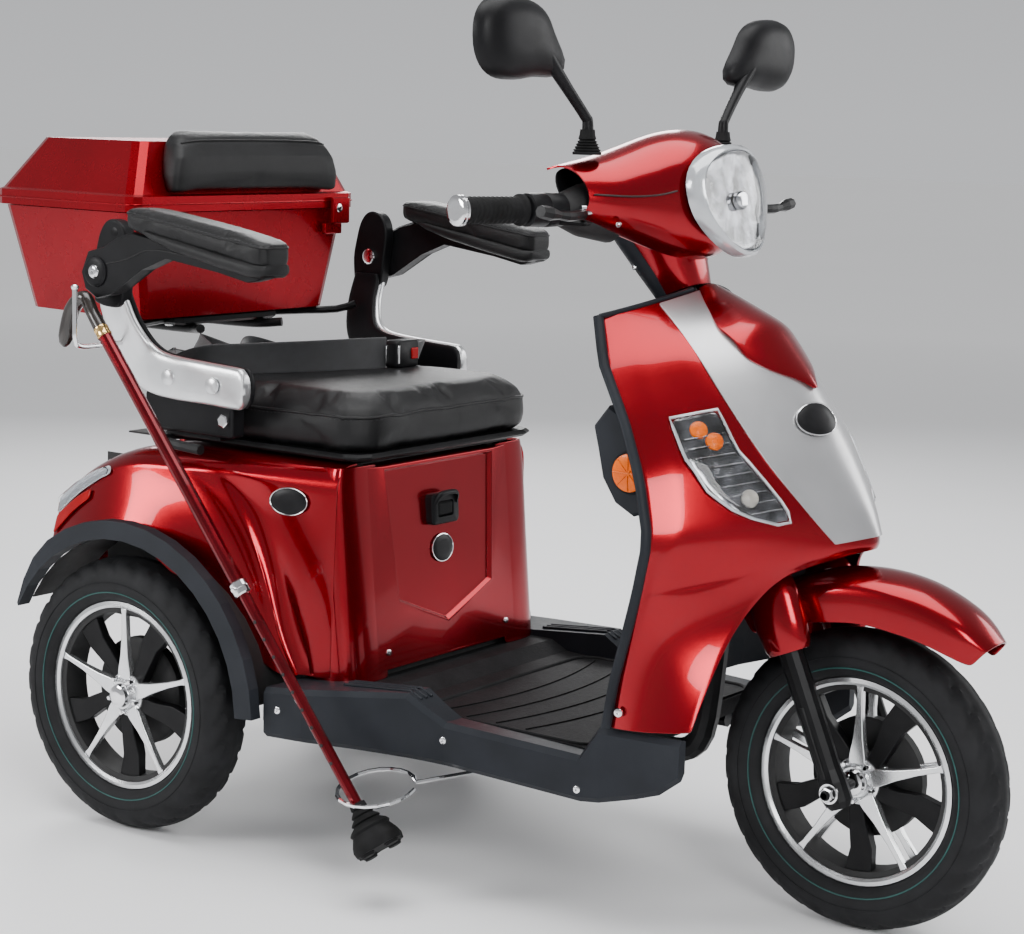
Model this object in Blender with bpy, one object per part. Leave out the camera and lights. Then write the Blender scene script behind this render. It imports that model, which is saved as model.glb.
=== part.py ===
"""Three-wheeled mobility scooter: frame, wheels, fairings, seat, rear box and cane.

Lengths are metres.  Part coordinates are measured from the point on the ground under the rear
axle: +X forward, +Y to the rider's left, +Z up.  One empty carries everything and puts the
middle of the scooter over the world origin.
"""
import math

import bmesh
import bpy
import numpy as np
from mathutils import Matrix, Vector

# ---------------------------------------------------------------- driving dimensions
WHEELBASE = 1.082
TYRE_R = 0.211
TYRE_HALF_W = 0.042
RIM_R = 0.1455
REAR_TRACK_HALF = 0.320
RAKE = math.radians(23.0)
FORK_AHEAD = 0.032
SKIN = 0.004
ORIGIN_SHIFT_X = -0.4395

FORK_HALF = 0.083
BRIDGE_S = 0.352
HEAD_TUBE_S = (0.392, 0.560)
BAR_S = 0.842

DECK_Z = 0.245
SEAT_BOTTOM_Z = 0.606
SEAT_TOP_Z = 0.690
SEAT_HALF = 0.235
SEAT_X = (-0.050, 0.372)
ARM_PIVOT = (-0.052, 0.855)
ARM_Y = 0.327

COLOURS = {
    "red_paint": ((0.45, 0.008, 0.015), 0.18, 0.35),
    "silver_paint": ((0.62, 0.62, 0.63), 0.30, 0.60),
    "slate_plastic": ((0.075, 0.083, 0.100), 0.45, 0.0),
    "black_plastic": ((0.018, 0.018, 0.020), 0.50, 0.0),
    "black_steel": ((0.020, 0.020, 0.022), 0.40, 0.5),
    "cast_silver": ((0.74, 0.75, 0.76), 0.32, 0.9),
    "chrome": ((0.85, 0.85, 0.86), 0.10, 1.0),
    "rubber": ((0.020, 0.020, 0.020), 0.80, 0.0),
    "tyre": ((0.022, 0.023, 0.025), 0.75, 0.0),
    "leather": ((0.020, 0.020, 0.021), 0.50, 0.0),
    "webbing": ((0.025, 0.026, 0.032), 0.80, 0.0),
    "clear_lens": ((0.90, 0.90, 0.90), 0.08, 0.0),
    "cane_red": ((0.20, 0.004, 0.014), 0.22, 0.6),
}


# ---------------------------------------------------------------- helpers
def clear_scene():
    for obj in list(bpy.data.objects):
        bpy.data.objects.remove(obj, do_unlink=True)


def material(slot):
    """The Principled material of one colour slot, made once."""
    if slot in bpy.data.materials:
        return bpy.data.materials[slot]
    colour, roughness, metallic = COLOURS[slot]
    mat = bpy.data.materials.new(slot)
    mat.use_nodes = True
    shader = mat.node_tree.nodes["Principled BSDF"]
    shader.inputs["Base Color"].default_value = (*colour, 1.0)
    shader.inputs["Roughness"].default_value = roughness
    shader.inputs["Metallic"].default_value = metallic
    mat.diffuse_color = (*colour, 1.0)
    return mat


def empty(name, location=(0, 0, 0), parent=None):
    obj = bpy.data.objects.new(name, None)
    bpy.context.collection.objects.link(obj)
    obj.location = location
    obj.parent = parent
    return obj


def finish(bm, name, slot, parent, origin=(0, 0, 0), smooth_angle=35.0):
    """Turn a bmesh in part coordinates into an object whose origin is at the given point."""
    bmesh.ops.remove_doubles(bm, verts=bm.verts, dist=0.00002)
    bmesh.ops.recalc_face_normals(bm, faces=bm.faces)
    bmesh.ops.translate(bm, verts=bm.verts, vec=-Vector(origin))
    for face in bm.faces:
        face.smooth = True
    for edge in bm.edges:
        edge.smooth = len(edge.link_faces) == 2 and edge.calc_face_angle(0.0) < math.radians(smooth_angle)
    mesh = bpy.data.meshes.new(name)
    bm.to_mesh(mesh)
    bm.free()
    mesh.materials.append(material(slot))
    obj = bpy.data.objects.new(name, mesh)
    bpy.context.collection.objects.link(obj)
    obj.location = origin
    obj.parent = parent
    return obj


def cap(bm, loop, reverse=False):
    face = bm.faces.new(list(reversed(loop)) if reverse else loop)
    return face


def loft_into(bm, loops, closed_ring=False):
    """Bridge equal-length closed loops of points; cap both ends unless the loops form a ring."""
    rings = [[bm.verts.new(p) for p in loop] for loop in loops]
    count = len(rings[0])
    pairs = list(zip(rings, rings[1:]))
    if closed_ring:
        pairs.append((rings[-1], rings[0]))
    for a, b in pairs:
        for i in range(count):
            j = (i + 1) % count
            bm.faces.new((a[i], a[j], b[j], b[i]))
    if not closed_ring:
        cap(bm, rings[0], True)
        cap(bm, rings[-1])


def loft(name, slot, parent, loops, origin=(0, 0, 0), closed_ring=False, smooth_angle=35.0):
    bm = bmesh.new()
    loft_into(bm, loops, closed_ring)
    return finish(bm, name, slot, parent, origin, smooth_angle)


def axes_of(direction):
    """Two unit vectors square to a direction; the first is level where it can be."""
    d = Vector(direction).normalized()
    side = Vector((0, 0, 1)).cross(d)
    if side.length < 1e-6:
        side = Vector((0, 1, 0))
    side.normalize()
    return side, d.cross(side)


def ring_points(centre, direction, radius, sides):
    side, up = axes_of(direction)
    c = Vector(centre)
    return [c + side * radius * math.cos(2 * math.pi * k / sides) + up * radius * math.sin(2 * math.pi * k / sides)
            for k in range(sides)]


def turned(name, slot, parent, start, end, profile, sides=20, origin=(0, 0, 0), smooth_angle=35.0):
    """A turned solid: profile is (fraction along start-end, radius), rings capped at both ends."""
    a, b = Vector(start), Vector(end)
    loops = [ring_points(a.lerp(b, t), b - a, r, sides) for t, r in profile]
    return loft(name, slot, parent, loops, origin, smooth_angle=smooth_angle)


def rod(name, slot, parent, start, end, radius, sides=16, origin=(0, 0, 0)):
    return turned(name, slot, parent, start, end, [(0, radius), (1, radius)], sides, origin)


def smooth_path(points, steps=6):
    """Catmull-Rom points through a list of route points."""
    pts = [np.array(p, float) for p in points]
    ext = [2 * pts[0] - pts[1]] + pts + [2 * pts[-1] - pts[-2]]
    out = []
    for i in range(1, len(ext) - 2):
        a, b, c, d = ext[i - 1:i + 3]
        for k in range(steps):
            t = k / steps
            out.append(0.5 * (2 * b + (c - a) * t + (2 * a - 5 * b + 4 * c - d) * t ** 2
                              + (3 * b - a - 3 * c + d) * t ** 3))
    out.append(pts[-1])
    return [Vector(p) for p in out]


def swept(name, slot, parent, path, radii, sides=12, origin=(0, 0, 0), flat=1.0):
    """A tube along a path; radii is one radius or one per point; flat squashes it up-down."""
    path = [Vector(p) for p in path]
    if not hasattr(radii, "__len__"):
        radii = [radii] * len(path)
    loops = []
    side = None
    for i, p in enumerate(path):
        tangent = (path[min(i + 1, len(path) - 1)] - path[max(i - 1, 0)]).normalized()
        if side is None:
            side, _ = axes_of(tangent)
        side = (side - tangent * side.dot(tangent)).normalized()
        up = tangent.cross(side)
        loops.append([p + side * radii[i] * math.cos(2 * math.pi * k / sides)
                      + up * flat * radii[i] * math.sin(2 * math.pi * k / sides) for k in range(sides)])
    return loft(name, slot, parent, loops, origin)


def rounded_rect(cx, cy, hx, hy, radius, steps=3):
    """Points of a rounded rectangle in a plane, anticlockwise."""
    pts = []
    radius = min(radius, hx * 0.999, hy * 0.999)
    for k, (sx, sy) in enumerate(((1, 1), (-1, 1), (-1, -1), (1, -1))):
        for i in range(steps + 1):
            a = math.pi / 2 * (k + i / steps)
            pts.append((cx + sx * (hx - radius) + radius * math.cos(a),
                        cy + sy * (hy - radius) + radius * math.sin(a)))
    return pts


def block(name, slot, parent, low, high, radius=0.006, origin=(0, 0, 0), steps=2, edge=None):
    """A box with rounded upright edges and chamfered top and bottom rims."""
    edge = min(radius, 0.004) if edge is None else edge
    cx, cy = (low[0] + high[0]) / 2, (low[1] + high[1]) / 2
    hx, hy = (high[0] - low[0]) / 2, (high[1] - low[1]) / 2
    loops = []
    for z, inset in ((low[2], edge), (low[2] + edge, 0), (high[2] - edge, 0), (high[2], edge)):
        loops.append([(x, y, z) for x, y in rounded_rect(cx, cy, hx - inset, hy - inset, radius, steps)])
    return loft(name, slot, parent, loops, origin)


def prism_y(name, slot, parent, outline, y0, y1, edge=0.003, origin=(0, 0, 0)):
    """A plate cut to an (x, z) outline, between y0 and y1, with its rim chamfered."""
    centre = np.mean(outline, axis=0)
    inner = [tuple(np.array(p) + (centre - np.array(p)) / max(np.linalg.norm(centre - np.array(p)),
            1e-9) * edge)
             for p in outline]
    step = edge if y1 > y0 else -edge
    loops = [[(x, y, z) for x, z in shape] for y, shape in
             ((y0, inner), (y0 + step, outline), (y1 - step, outline), (y1, inner))]
    return loft(name, slot, parent, loops, origin)


def table(x, rows):
    """Straight-line lookup: rows are (key, value) pairs in key order."""
    keys, values = zip(*rows)
    return float(np.interp(x, keys, values))


def fork(s, side=0.0):
    """A point on the fork's centre line, s metres up from the front axle."""
    return Vector((WHEELBASE - math.sin(RAKE) * s, side, TYRE_R + math.cos(RAKE) * s))


def steer(s, side=0.0):
    """A point on the steering axis, which runs behind the fork's centre line and parallel to it."""
    back = Vector((math.cos(RAKE), 0, math.sin(RAKE))) * FORK_AHEAD
    return fork(s, side) - back


def union(name, pieces):
    """Weld closed solids that run into each other into one body, keeping the first one's place."""
    first = pieces[0]
    for piece in pieces[1:]:
        weld = first.modifiers.new(piece.name, "BOOLEAN")
        weld.operation = "UNION"
        weld.object = piece
    bpy.context.view_layer.update()
    evaluated = first.evaluated_get(bpy.context.evaluated_depsgraph_get())
    mesh = bpy.data.meshes.new_from_object(evaluated)
    mesh.name = name
    first.modifiers.clear()
    first.data = mesh
    first.name = name
    for piece in pieces[1:]:
        bpy.data.objects.remove(piece, do_unlink=True)
    return first


def surface_normals(g):
    n = np.cross(np.gradient(g, axis=0), np.gradient(g, axis=1))
    return n / np.maximum(np.linalg.norm(n, axis=2, keepdims=True), 1e-9)


def masked_sheet(name, slot, parent, grid, toward, thickness=SKIN, keep=None, smooth_angle=40.0):
    """A closed skin over the kept cells of a grid, thickened towards an inner point.

    Walls close it wherever a cell's neighbour is missing.
    """
    g = np.array(grid, float)
    n = surface_normals(g)
    if np.sum(n * (np.array(toward) - g)) > 0:
        n = -n
    rows, cols = g.shape[:2]
    keep = keep or (lambda i, j: True)
    bm = bmesh.new()
    verts = {}

    def vert(i, j, k):
        if (i, j, k) not in verts:
            verts[i, j, k] = bm.verts.new(g[i, j] - n[i, j] * thickness * k)
        return verts[i, j, k]

    def solid(i, j):
        return 0 <= i < rows - 1 and 0 <= j < cols - 1 and keep(i, j)

    for i in range(rows - 1):
        for j in range(cols - 1):
            if not solid(i, j):
                continue
            bm.faces.new((vert(i, j, 0), vert(i + 1, j, 0), vert(i + 1, j + 1, 0), vert(i, j + 1, 0)))
            bm.faces.new((vert(i, j, 1), vert(i, j + 1, 1), vert(i + 1, j + 1, 1), vert(i + 1, j, 1)))
            edges = (((i, j), (i, j + 1), (i - 1, j)), ((i + 1, j + 1), (i + 1, j), (i + 1, j)),
                     ((i + 1, j), (i, j), (i, j - 1)), ((i, j + 1), (i + 1, j + 1), (i, j + 1)))
            for a, b, neighbour in edges:
                if not solid(*neighbour):
                    bm.faces.new((vert(*a, 0), vert(*b, 0), vert(*b, 1), vert(*a, 1)))
    return finish(bm, name, slot, parent, (0, 0, 0), smooth_angle)


# ---------------------------------------------------------------- wheels
def tyre(name, parent, centre):
    """Solid rubber section turned about the wheel's axle."""
    section = [(RIM_R + 0.0003, 0.0275), (RIM_R + 0.004, 0.0325), (0.176, TYRE_HALF_W), (0.192, 0.0405),
               (0.204, 0.028), (TYRE_R, 0.010)]
    section = section + [(r, -y) for r, y in reversed(section)]
    steps = 40
    loops = []
    for k in range(steps):
        a = 2 * math.pi * k / steps
        loops.append([(centre[0] + r * math.cos(a), centre[1] + y, centre[2] + r * math.sin(a))
                      for r, y in section])
    return loft(name, "tyre", parent, loops, centre, closed_ring=True, smooth_angle=50)


def cast_rim(name, parent, centre, bore, hub_half):
    """One casting: hub, ten spokes and a rim band, as solid cells of a polar grid."""
    radii = [bore, 0.034, 0.048, RIM_R - 0.014, RIM_R]
    halves = [hub_half, hub_half, 0.016, 0.026, 0.0285]
    sectors = 40
    bm = bmesh.new()
    verts = {}

    def vert(i, k, s):
        key = (i, k % sectors, s)
        if key not in verts:
            a = 2 * math.pi * (k % sectors) / sectors
            y = centre[1] + s * (halves[i] if i < 3 or s < 0 or s > 0 else 0)
            verts[key] = bm.verts.new((centre[0] + radii[i] * math.cos(a), y,
                                       centre[2] + radii[i] * math.sin(a)))
        return verts[key]

    def solid(i, k):
        return 0 <= i < len(radii) - 1 and (i != 2 or (k % sectors) % 4 < 2)

    for i in range(len(radii) - 1):
        for k in range(sectors):
            if not solid(i, k):
                continue
            for s in (1, -1):
                quad = [vert(i, k, s), vert(i + 1, k, s), vert(i + 1, k + 1, s), vert(i, k + 1, s)]
                bm.faces.new(quad if s > 0 else quad[::-1])
            walls = (((i, k), (i, k + 1), (i - 1, k)), ((i + 1, k + 1), (i + 1, k), (i + 1, k)),
                     ((i + 1, k), (i, k), (i, k - 1)), ((i, k + 1), (i + 1, k + 1), (i, k + 1)))
            for a, b, neighbour in walls:
                if not solid(*neighbour):
                    bm.faces.new((vert(*a, 1), vert(*b, 1), vert(*b, -1), vert(*a, -1)))
    return finish(bm, name, "cast_silver", parent, centre)


def build_wheels(base):
    for side, sign in (("left", 1), ("right", -1)):
        centre = (0, sign * REAR_TRACK_HALF, TYRE_R)
        spin = empty(f"rear_wheel_{side}_axis", centre, base)
        tyre(f"rear_tyre_{side}", spin, (0, 0, 0))
        rim = cast_rim("casting", spin, (0, 0, 0), 0.0112, 0.034)
        profile = [(0, 0.0125), (0.62, 0.0125), (0.621, 0.020), (0.80, 0.020), (0.801, 0.012), (1, 0.010)]
        hub = turned("hub", "cast_silver", spin, (0, -sign * 0.036, 0), (0, sign * 0.050, 0), profile, 16)
        union(f"rear_rim_{side}", [rim, hub])


def build_rear_drive(base):
    """Axle tube with the gearbox in the middle and the motor bolted behind it."""
    profile = [(0, 0.020), (0.004, 0.024), (0.32, 0.024), (0.36, 0.055), (0.45, 0.066), (0.55, 0.066),
               (0.64, 0.055), (0.68, 0.024), (0.996, 0.024), (1, 0.020)]
    housing = turned("tube", "black_steel", base, (0, -0.280, TYRE_R), (0, 0.280, TYRE_R), profile, 16)
    motor = turned("motor", "black_steel", base, (-0.030, 0.02, TYRE_R + 0.01), (-0.175, 0.02,
            TYRE_R + 0.035),
                   [(0, 0.030), (0.04, 0.050), (0.92, 0.050), (1, 0.042)], 16)
    union("rear_axle_housing", [housing, motor])


# ---------------------------------------------------------------- frame and running gear
def build_frame(base):
    """Welded steel tube: side rails, cross tubes, seat posts and rails, downtube and head tube."""
    pieces = []
    for sign in (1, -1):
        y = sign * 0.165
        route = [(-0.14, y, 0.33), (0.05, y, 0.33), (0.15, y, 0.31), (0.26, y, 0.235), (0.33, y, 0.207),
                 (0.50, y, 0.205), (0.77, y, 0.205)]
        pieces.append(swept("rail", "black_steel", base, smooth_path(route, 2), 0.012, 8))
        pieces.append(block("post", "black_steel", base, (0.02, y - 0.009, 0.3350), (0.05, y + 0.009,
                0.5700), 0.003,
                            steps=1))
        pieces.append(block("rail_top", "black_steel", base, (-0.03, y - 0.012, 0.5600), (0.310, y + 0.012,
                0.5880),
                            0.003, steps=1))
        pieces.append(block("bracket", "black_steel", base, (-0.015, y - 0.010, TYRE_R + 0.0246),
                            (0.015, y + 0.010, 0.3250), 0.003, steps=1))
    for x, z in ((-0.12, 0.33), (0.42, 0.205), (0.74, 0.205)):
        pieces.append(rod("cross", "black_steel", base, (x, -0.1650, z + 0.001), (x, 0.1650, z + 0.001),
                          0.010, 8))
    route = [(0.738, 0, 0.198), (0.79, 0, 0.197), (0.824, 0, 0.230), (0.838, 0, 0.33), (0.848, 0, 0.45),
             (0.878, 0, 0.600)]
    pieces.append(swept("downtube", "black_steel", base, smooth_path(route, 3), 0.018, 10))
    frame = union("main_frame", pieces)
    head = rod("head", "black_steel", base, steer(HEAD_TUBE_S[0]), steer(HEAD_TUBE_S[1]), 0.021, 16)
    frame = union("main_frame", [frame, head])
    bore = rod("bore", "black_steel", base, steer(HEAD_TUBE_S[0] - 0.01), steer(HEAD_TUBE_S[1] + 0.01),
               0.0138, 16)
    cut = frame.modifiers.new("bore", "BOOLEAN")
    cut.operation = "DIFFERENCE"
    cut.object = bore
    union("main_frame", [frame])
    bpy.data.objects.remove(bore, do_unlink=True)
    block("battery_pack", "black_plastic", base, (0.125, -0.142, 0.250), (0.315, 0.142, 0.420), 0.008)
    block("motor_controller", "cast_silver", base, (0.13, -0.07, 0.4206), (0.30, 0.07, 0.465), 0.006)


# ---------------------------------------------------------------- floor
def sill_section(x):
    """Outer half width, bottom and top of the side sill at a station along the scooter."""
    outer = table(x, [(0.276, 0.334), (0.36, 0.322), (0.46, 0.292), (0.55, 0.273), (0.80, 0.266), (0.936,
            0.252)])
    low = table(x, [(0.276, 0.192), (0.45, 0.192), (0.80, 0.178), (0.90, 0.204), (0.936, 0.232)])
    top = table(x, [(0.276, 0.2670), (0.34, 0.2715), (0.50, 0.286), (0.555, 0.252), (0.788, 0.244), (0.812,
            0.288)])
    return outer, low, top


def build_floor(base):
    for side, sign in (("left", 1), ("right", -1)):
        loops = []
        for x in (0.276, 0.34, 0.42, 0.50, 0.53, 0.56, 0.66, 0.785, 0.814, 0.870, 0.905, 0.936):
            outer, low, top = sill_section(x)
            inner = 0.2285 if x < 0.80 else 0.2360
            loop = [(x, sign * inner, low + 0.01), (x, sign * (outer - 0.008), low), (x, sign * outer,
                    low + 0.008),
                    (x, sign * outer, top - 0.008), (x, sign * (outer - 0.006), top), (x, sign * inner,
                            top - 0.002)]
            loops.append(loop)
        loft(f"side_sill_{side}", "slate_plastic", base, loops)
    loops = []
    for x, z in ((0.346, 0.262), (0.40, 0.262), (0.43, 0.247), (0.46, DECK_Z), (0.785, DECK_Z)):
        loops.append([(x, -0.2280, 0.2205), (x, 0.2280, 0.2205), (x, 0.2280, z), (x, -0.2280, z)])
    loft("floor_deck", "black_plastic", base, loops)


# ---------------------------------------------------------------- leg shield
CENTRE_LINE = [(0.0, (0.806, 0.872)), (0.2, (0.912, 0.826)), (0.4, (0.972, 0.752)), (0.6, (1.027, 0.672)),
               (0.8, (1.070, 0.598)), (0.96, (1.092, 0.542)), (1.0, (1.086, 0.532))]
EDGE_LINE = [(0.0, (0.742, 0.172, 0.833)), (0.2, (0.776, 0.208, 0.775)), (0.4, (0.828, 0.233, 0.705)),
             (0.6, (0.868, 0.254, 0.635)), (0.8, (0.892, 0.266, 0.555)), (1.0, (0.880, 0.270, 0.480)),
             (1.25, (0.866, 0.271, 0.420)), (1.5, (0.850, 0.270, 0.360)), (1.75, (0.838, 0.268, 0.293))]
ARCH_LINE = [(1.0, (1.011, 0.108, 0.510)), (1.25, (0.974, 0.160, 0.455)), (1.5, (0.958, 0.212, 0.375)),
             (1.75, (0.948, 0.245, 0.300))]
ARCH_T = 0.4


def blend_table(v, rows):
    keys = [k for k, _ in rows]
    values = np.array([p for _, p in rows])
    return np.array([np.interp(v, keys, values[:, i]) for i in range(values.shape[1])])


def shield_point(t, v):
    """A point of the leg shield: t runs from the right edge (-1) to the left (1), v from top to bottom."""
    edge = blend_table(v, EDGE_LINE)
    side = 1.0 if t >= 0 else -1.0
    a = abs(t)
    if v <= 1.0:
        centre = blend_table(v, CENTRE_LINE)
        power = 2.1 - 0.9 * v
        bulge = 1.0 - a ** power
        return np.array((edge[0] + (centre[0] - edge[0]) * bulge, t * edge[1],
                         edge[2] + (centre[1] - edge[2]) * (1.0 - a ** 1.3)))
    arch = blend_table(v, ARCH_LINE)
    f = (a - ARCH_T) / (1.0 - ARCH_T)
    point = arch + (edge - arch) * f
    point[1] = side * (point[1] + 0.012 * math.sin(math.pi * f))
    return point


def panel_width(v):
    """Half width, in t, of the silver centre panel."""
    return table(v, [(0.0, 0.60), (0.2, 0.62), (0.4, 0.58), (0.6, 0.50), (0.8, 0.36), (0.96, 0.22)])


def shield_normal(t, v):
    step = 0.01
    across = shield_point(t + step, v) - shield_point(t - step, v)
    down = shield_point(t, min(v + step, 0.999)) - shield_point(t, v - step)
    n = np.cross(down, across)
    n /= np.linalg.norm(n)
    return n if n[0] > 0 else -n


def shield_pad(name, slot, parent, ts, vs, low, high):
    """A closed pad on the shield: its back stands low off the shield and its face stands high."""
    faces = []
    for lift in (high, low):
        faces.append([[shield_point(t, v) + shield_normal(t, v) * lift for t in ts(v)] for v in vs])
    rows, cols = len(vs), len(faces[0][0])
    bm = bmesh.new()
    verts = [[[bm.verts.new(p) for p in row] for row in face] for face in faces]
    for i in range(rows - 1):
        for j in range(cols - 1):
            for face in verts:
                bm.faces.new((face[i][j], face[i + 1][j], face[i + 1][j + 1], face[i][j + 1]))
    rim = ([(0, j) for j in range(cols)] + [(i, cols - 1) for i in range(1, rows)]
           + [(rows - 1, j) for j in range(cols - 2, -1, -1)] + [(i, 0) for i in range(rows - 2, 0, -1)])
    for a, b in zip(rim, rim[1:] + rim[:1]):
        bm.faces.new((verts[0][a[0]][a[1]], verts[0][b[0]][b[1]], verts[1][b[0]][b[1]], verts[1][a[0]][a[1]]))
    return finish(bm, name, slot, parent)


def build_shield(base):
    """Red flanks joined by a lip under the nose, with the silver panel let in between them."""
    vs = [0, 0.1, 0.2, 0.3, 0.4, 0.5, 0.6, 0.7, 0.8, 0.9, 0.96, 1.0, 1.25, 1.5, 1.75]
    inside = (0.860, 0, 0.600)
    lip = vs.index(0.96)
    start = vs.index(1.0)
    spread = [-1, -0.90, -0.66, -0.33]
    grid = []
    for v in vs:
        w = panel_width(v) if v < 1.0 else table(v, [(1.0, 0.30), (1.01, ARCH_T)])
        outer = [-(w + (1 - w) * f) for f in (1.0, 0.88, 0.66, 0.33)]
        inner = [w * f for f in (-1, -0.5, 0, 0.5, 1)]
        ts = outer + inner + [-t for t in reversed(outer)]
        grid.append([shield_point(t if v <= 1.0 or abs(t) >= ARCH_T else math.copysign(ARCH_T, t),
                                  v) for t in ts])
    first, last = len(spread), len(spread) + 4
    masked_sheet("leg_shield", "red_paint", base, grid, inside,
                 keep=lambda i, j: not first <= j < last or lip <= i < start)
    vs = [v + 0.002 for v in vs[:lip]] + [0.920]
    grid = [[shield_point(panel_width(v) * f, v) for f in (-0.992, -0.5, 0, 0.5, 0.992)] for v in vs]
    masked_sheet("silver_panel", "silver_paint", base, grid, inside)


def inner_x(z):
    """How far forward the rear edge of the shield is at a height."""
    rows = sorted((p[2], p[0]) for _, p in EDGE_LINE)
    return table(z, rows)


def build_inner_shield(base):
    grid = []
    for z in np.linspace(0.834, 0.294, 13):
        half = table(z, sorted((p[2], p[1]) for _, p in EDGE_LINE)) + 0.001
        bow = table(z, [(0.30, 0.050), (0.50, 0.045), (0.56, 0.034), (0.60, 0.020), (0.66, 0.014), (0.72,
                0.014), (0.83, 0.036)])
        grid.append([(inner_x(z) - 0.007 - bow * (1 - t ** 4), t * half, z) for t in np.linspace(-1, 1, 11)])
    masked_sheet("inner_shield", "slate_plastic", base, grid, (0.60, 0, 0.60))
    outline = [(0.770, 0.690), (0.793, 0.719), (0.806, 0.712), (0.836, 0.660), (0.860, 0.600), (0.862, 0.578),
               (0.845, 0.572), (0.812, 0.588), (0.788, 0.620)]
    back = [(x - table(z, [(0.56, 0.021), (0.60, 0.0145), (0.66, 0.0115)]), z) for x, z in outline]
    prism_y("glove_box", "slate_plastic", base, back, -0.214, 0.214, 0.004)
    for side, sign in (("left", 1), ("right", -1)):
        shield_pad(f"turn_signal_{side}", "clear_lens", base, lambda v, s=sign: s * signal_span(v),
                   np.linspace(0.42, 0.82, 6), 0.0030, 0.0090)


def signal_span(v):
    """Width of a front turn signal, from its outer to its inner edge, at a height on the shield."""
    outer = table(v, [(0.42, 0.86), (0.56, 0.84), (0.72, 0.74), (0.82, 0.52)])
    inner = table(v, [(0.42, 0.68), (0.56, 0.60), (0.72, 0.50), (0.82, 0.46)])
    return np.linspace(outer, inner, 4)


# ---------------------------------------------------------------- front fork and wheel
def build_front(base):
    """Steered parts that also ride on the springs, then the wheel itself."""
    slide = empty("front_suspension_axis", fork(0.0), base)
    origin = fork(0.0)

    def local(point):
        return Vector(point) - origin

    pieces = []
    for sign in (1, -1):
        y = sign * FORK_HALF
        profile = [(0, 0.014), (0.04, 0.020), (0.16, 0.020), (0.24, 0.0175), (1, 0.0175)]
        pieces.append(turned("leg", "black_steel", slide, local(fork(-0.024, y)), local(fork(0.200, y)),
                             profile, 12))
    profile = [(0, 0.006), (0.06, 0.012), (0.07, 0.008), (0.93, 0.008), (0.94, 0.012), (1, 0.006)]
    pieces.append(turned("axle", "black_steel", slide, (0, -0.116, 0), (0, 0.116, 0), profile, 12))
    union("fork_lowers", pieces)
    build_front_fender(slide)
    wheel = empty("front_wheel_axis", (0, 0, 0), slide)
    tyre("front_tyre", wheel, (0, 0, 0))
    cast_rim("front_rim", wheel, (0, 0, 0), 0.0086, 0.034)


def fender_section(angle):
    """Half width, crown radius and skirt radius of the front fender at an angle about the axle."""
    half = table(angle, [(49, 0.026), (58, 0.048), (75, 0.060), (100, 0.062), (128, 0.062)])
    crown = table(angle, [(49, 0.290), (58, 0.297), (75, 0.298), (128, 0.290)])
    skirt = table(angle, [(49, 0.282), (58, 0.262), (75, 0.236), (100, 0.226), (128, 0.240)])
    return half, crown, skirt


def build_front_fender(slide):
    grid = []
    for angle in np.linspace(128, 49, 11):
        half, crown, skirt = fender_section(angle)
        a = math.radians(angle)
        row = []
        for f in (-1, -1, -0.97, -0.75, -0.4, 0, 0.4, 0.75, 0.97, 1, 1):
            row.append([f * half, crown - (crown - skirt) * 0.42 * abs(f) ** 3.0])
        row[0][1] = skirt
        row[-1][1] = skirt
        grid.append([(r * math.cos(a), y, r * math.sin(a)) for y, r in row])
    masked_sheet("front_fender", "red_paint", slide, grid, (0, 0, 0), 0.0035)


def build_steering(base):
    """Stanchions, bridge, stem, bar and everything fixed to them."""
    axis = empty("steering_axis", steer(0.0), base)
    origin = steer(0.0)

    def local(point):
        return Vector(point) - origin

    pieces = []
    for sign in (1, -1):
        y = sign * FORK_HALF
        pieces.append(rod("stanchion", "black_steel", axis, local(fork(0.2306, y)), local(fork(0.352, y)),
                          0.0135, 12))
    along = steer(1.0) - steer(0.0)
    across = Vector((math.cos(RAKE), 0, math.sin(RAKE)))
    bar = []
    for y, back, front in ((-0.100, 0.012, 0.012), (-0.083, 0.020, 0.018), (-0.03, 0.055, 0.018),
                           (0.03, 0.055, 0.018), (0.083, 0.020, 0.018), (0.100, 0.012, 0.012)):
        mid = local(fork(BRIDGE_S, y))
        bar.append([mid + across * c + along * 0.012 * s for c, s in
                    ((front, 1), (-back, 1), (-back, -1), (front, -1))])
    pieces.append(loft("bridge", "black_steel", axis, bar))
    pieces.append(rod("stem", "black_steel", axis, local(steer(0.352)), local(steer(BAR_S - 0.0330)),
                      0.0130, 12))
    union("fork_crown", pieces)
    centre = local(steer(BAR_S))
    route = [centre + Vector(p) for p in BAR_ROUTE]
    pieces = [swept("bar", "black_steel", axis, smooth_path(route, 2), 0.0112, 10),
              block("clamp", "black_steel", axis, centre - Vector((0.018, 0.022, 0.0240)),
                    centre + Vector((0.018, 0.022, 0.010)), 0.005, steps=1)]
    pieces += build_controls(axis, centre)
    union("handlebar", pieces)
    build_head(axis, origin)


BAR_HALF = [(-0.050, 0.275, 0.004), (-0.042, 0.245, 0.004), (-0.022, 0.170, 0.004), (-0.004, 0.075, 0.0)]
BAR_ROUTE = [(x, -y, z) for x, y, z in BAR_HALF] + [(0, 0, 0)] + BAR_HALF[::-1]
GRIP_OUT = Vector((-0.2588, 0.9659, 0.0))


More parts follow.
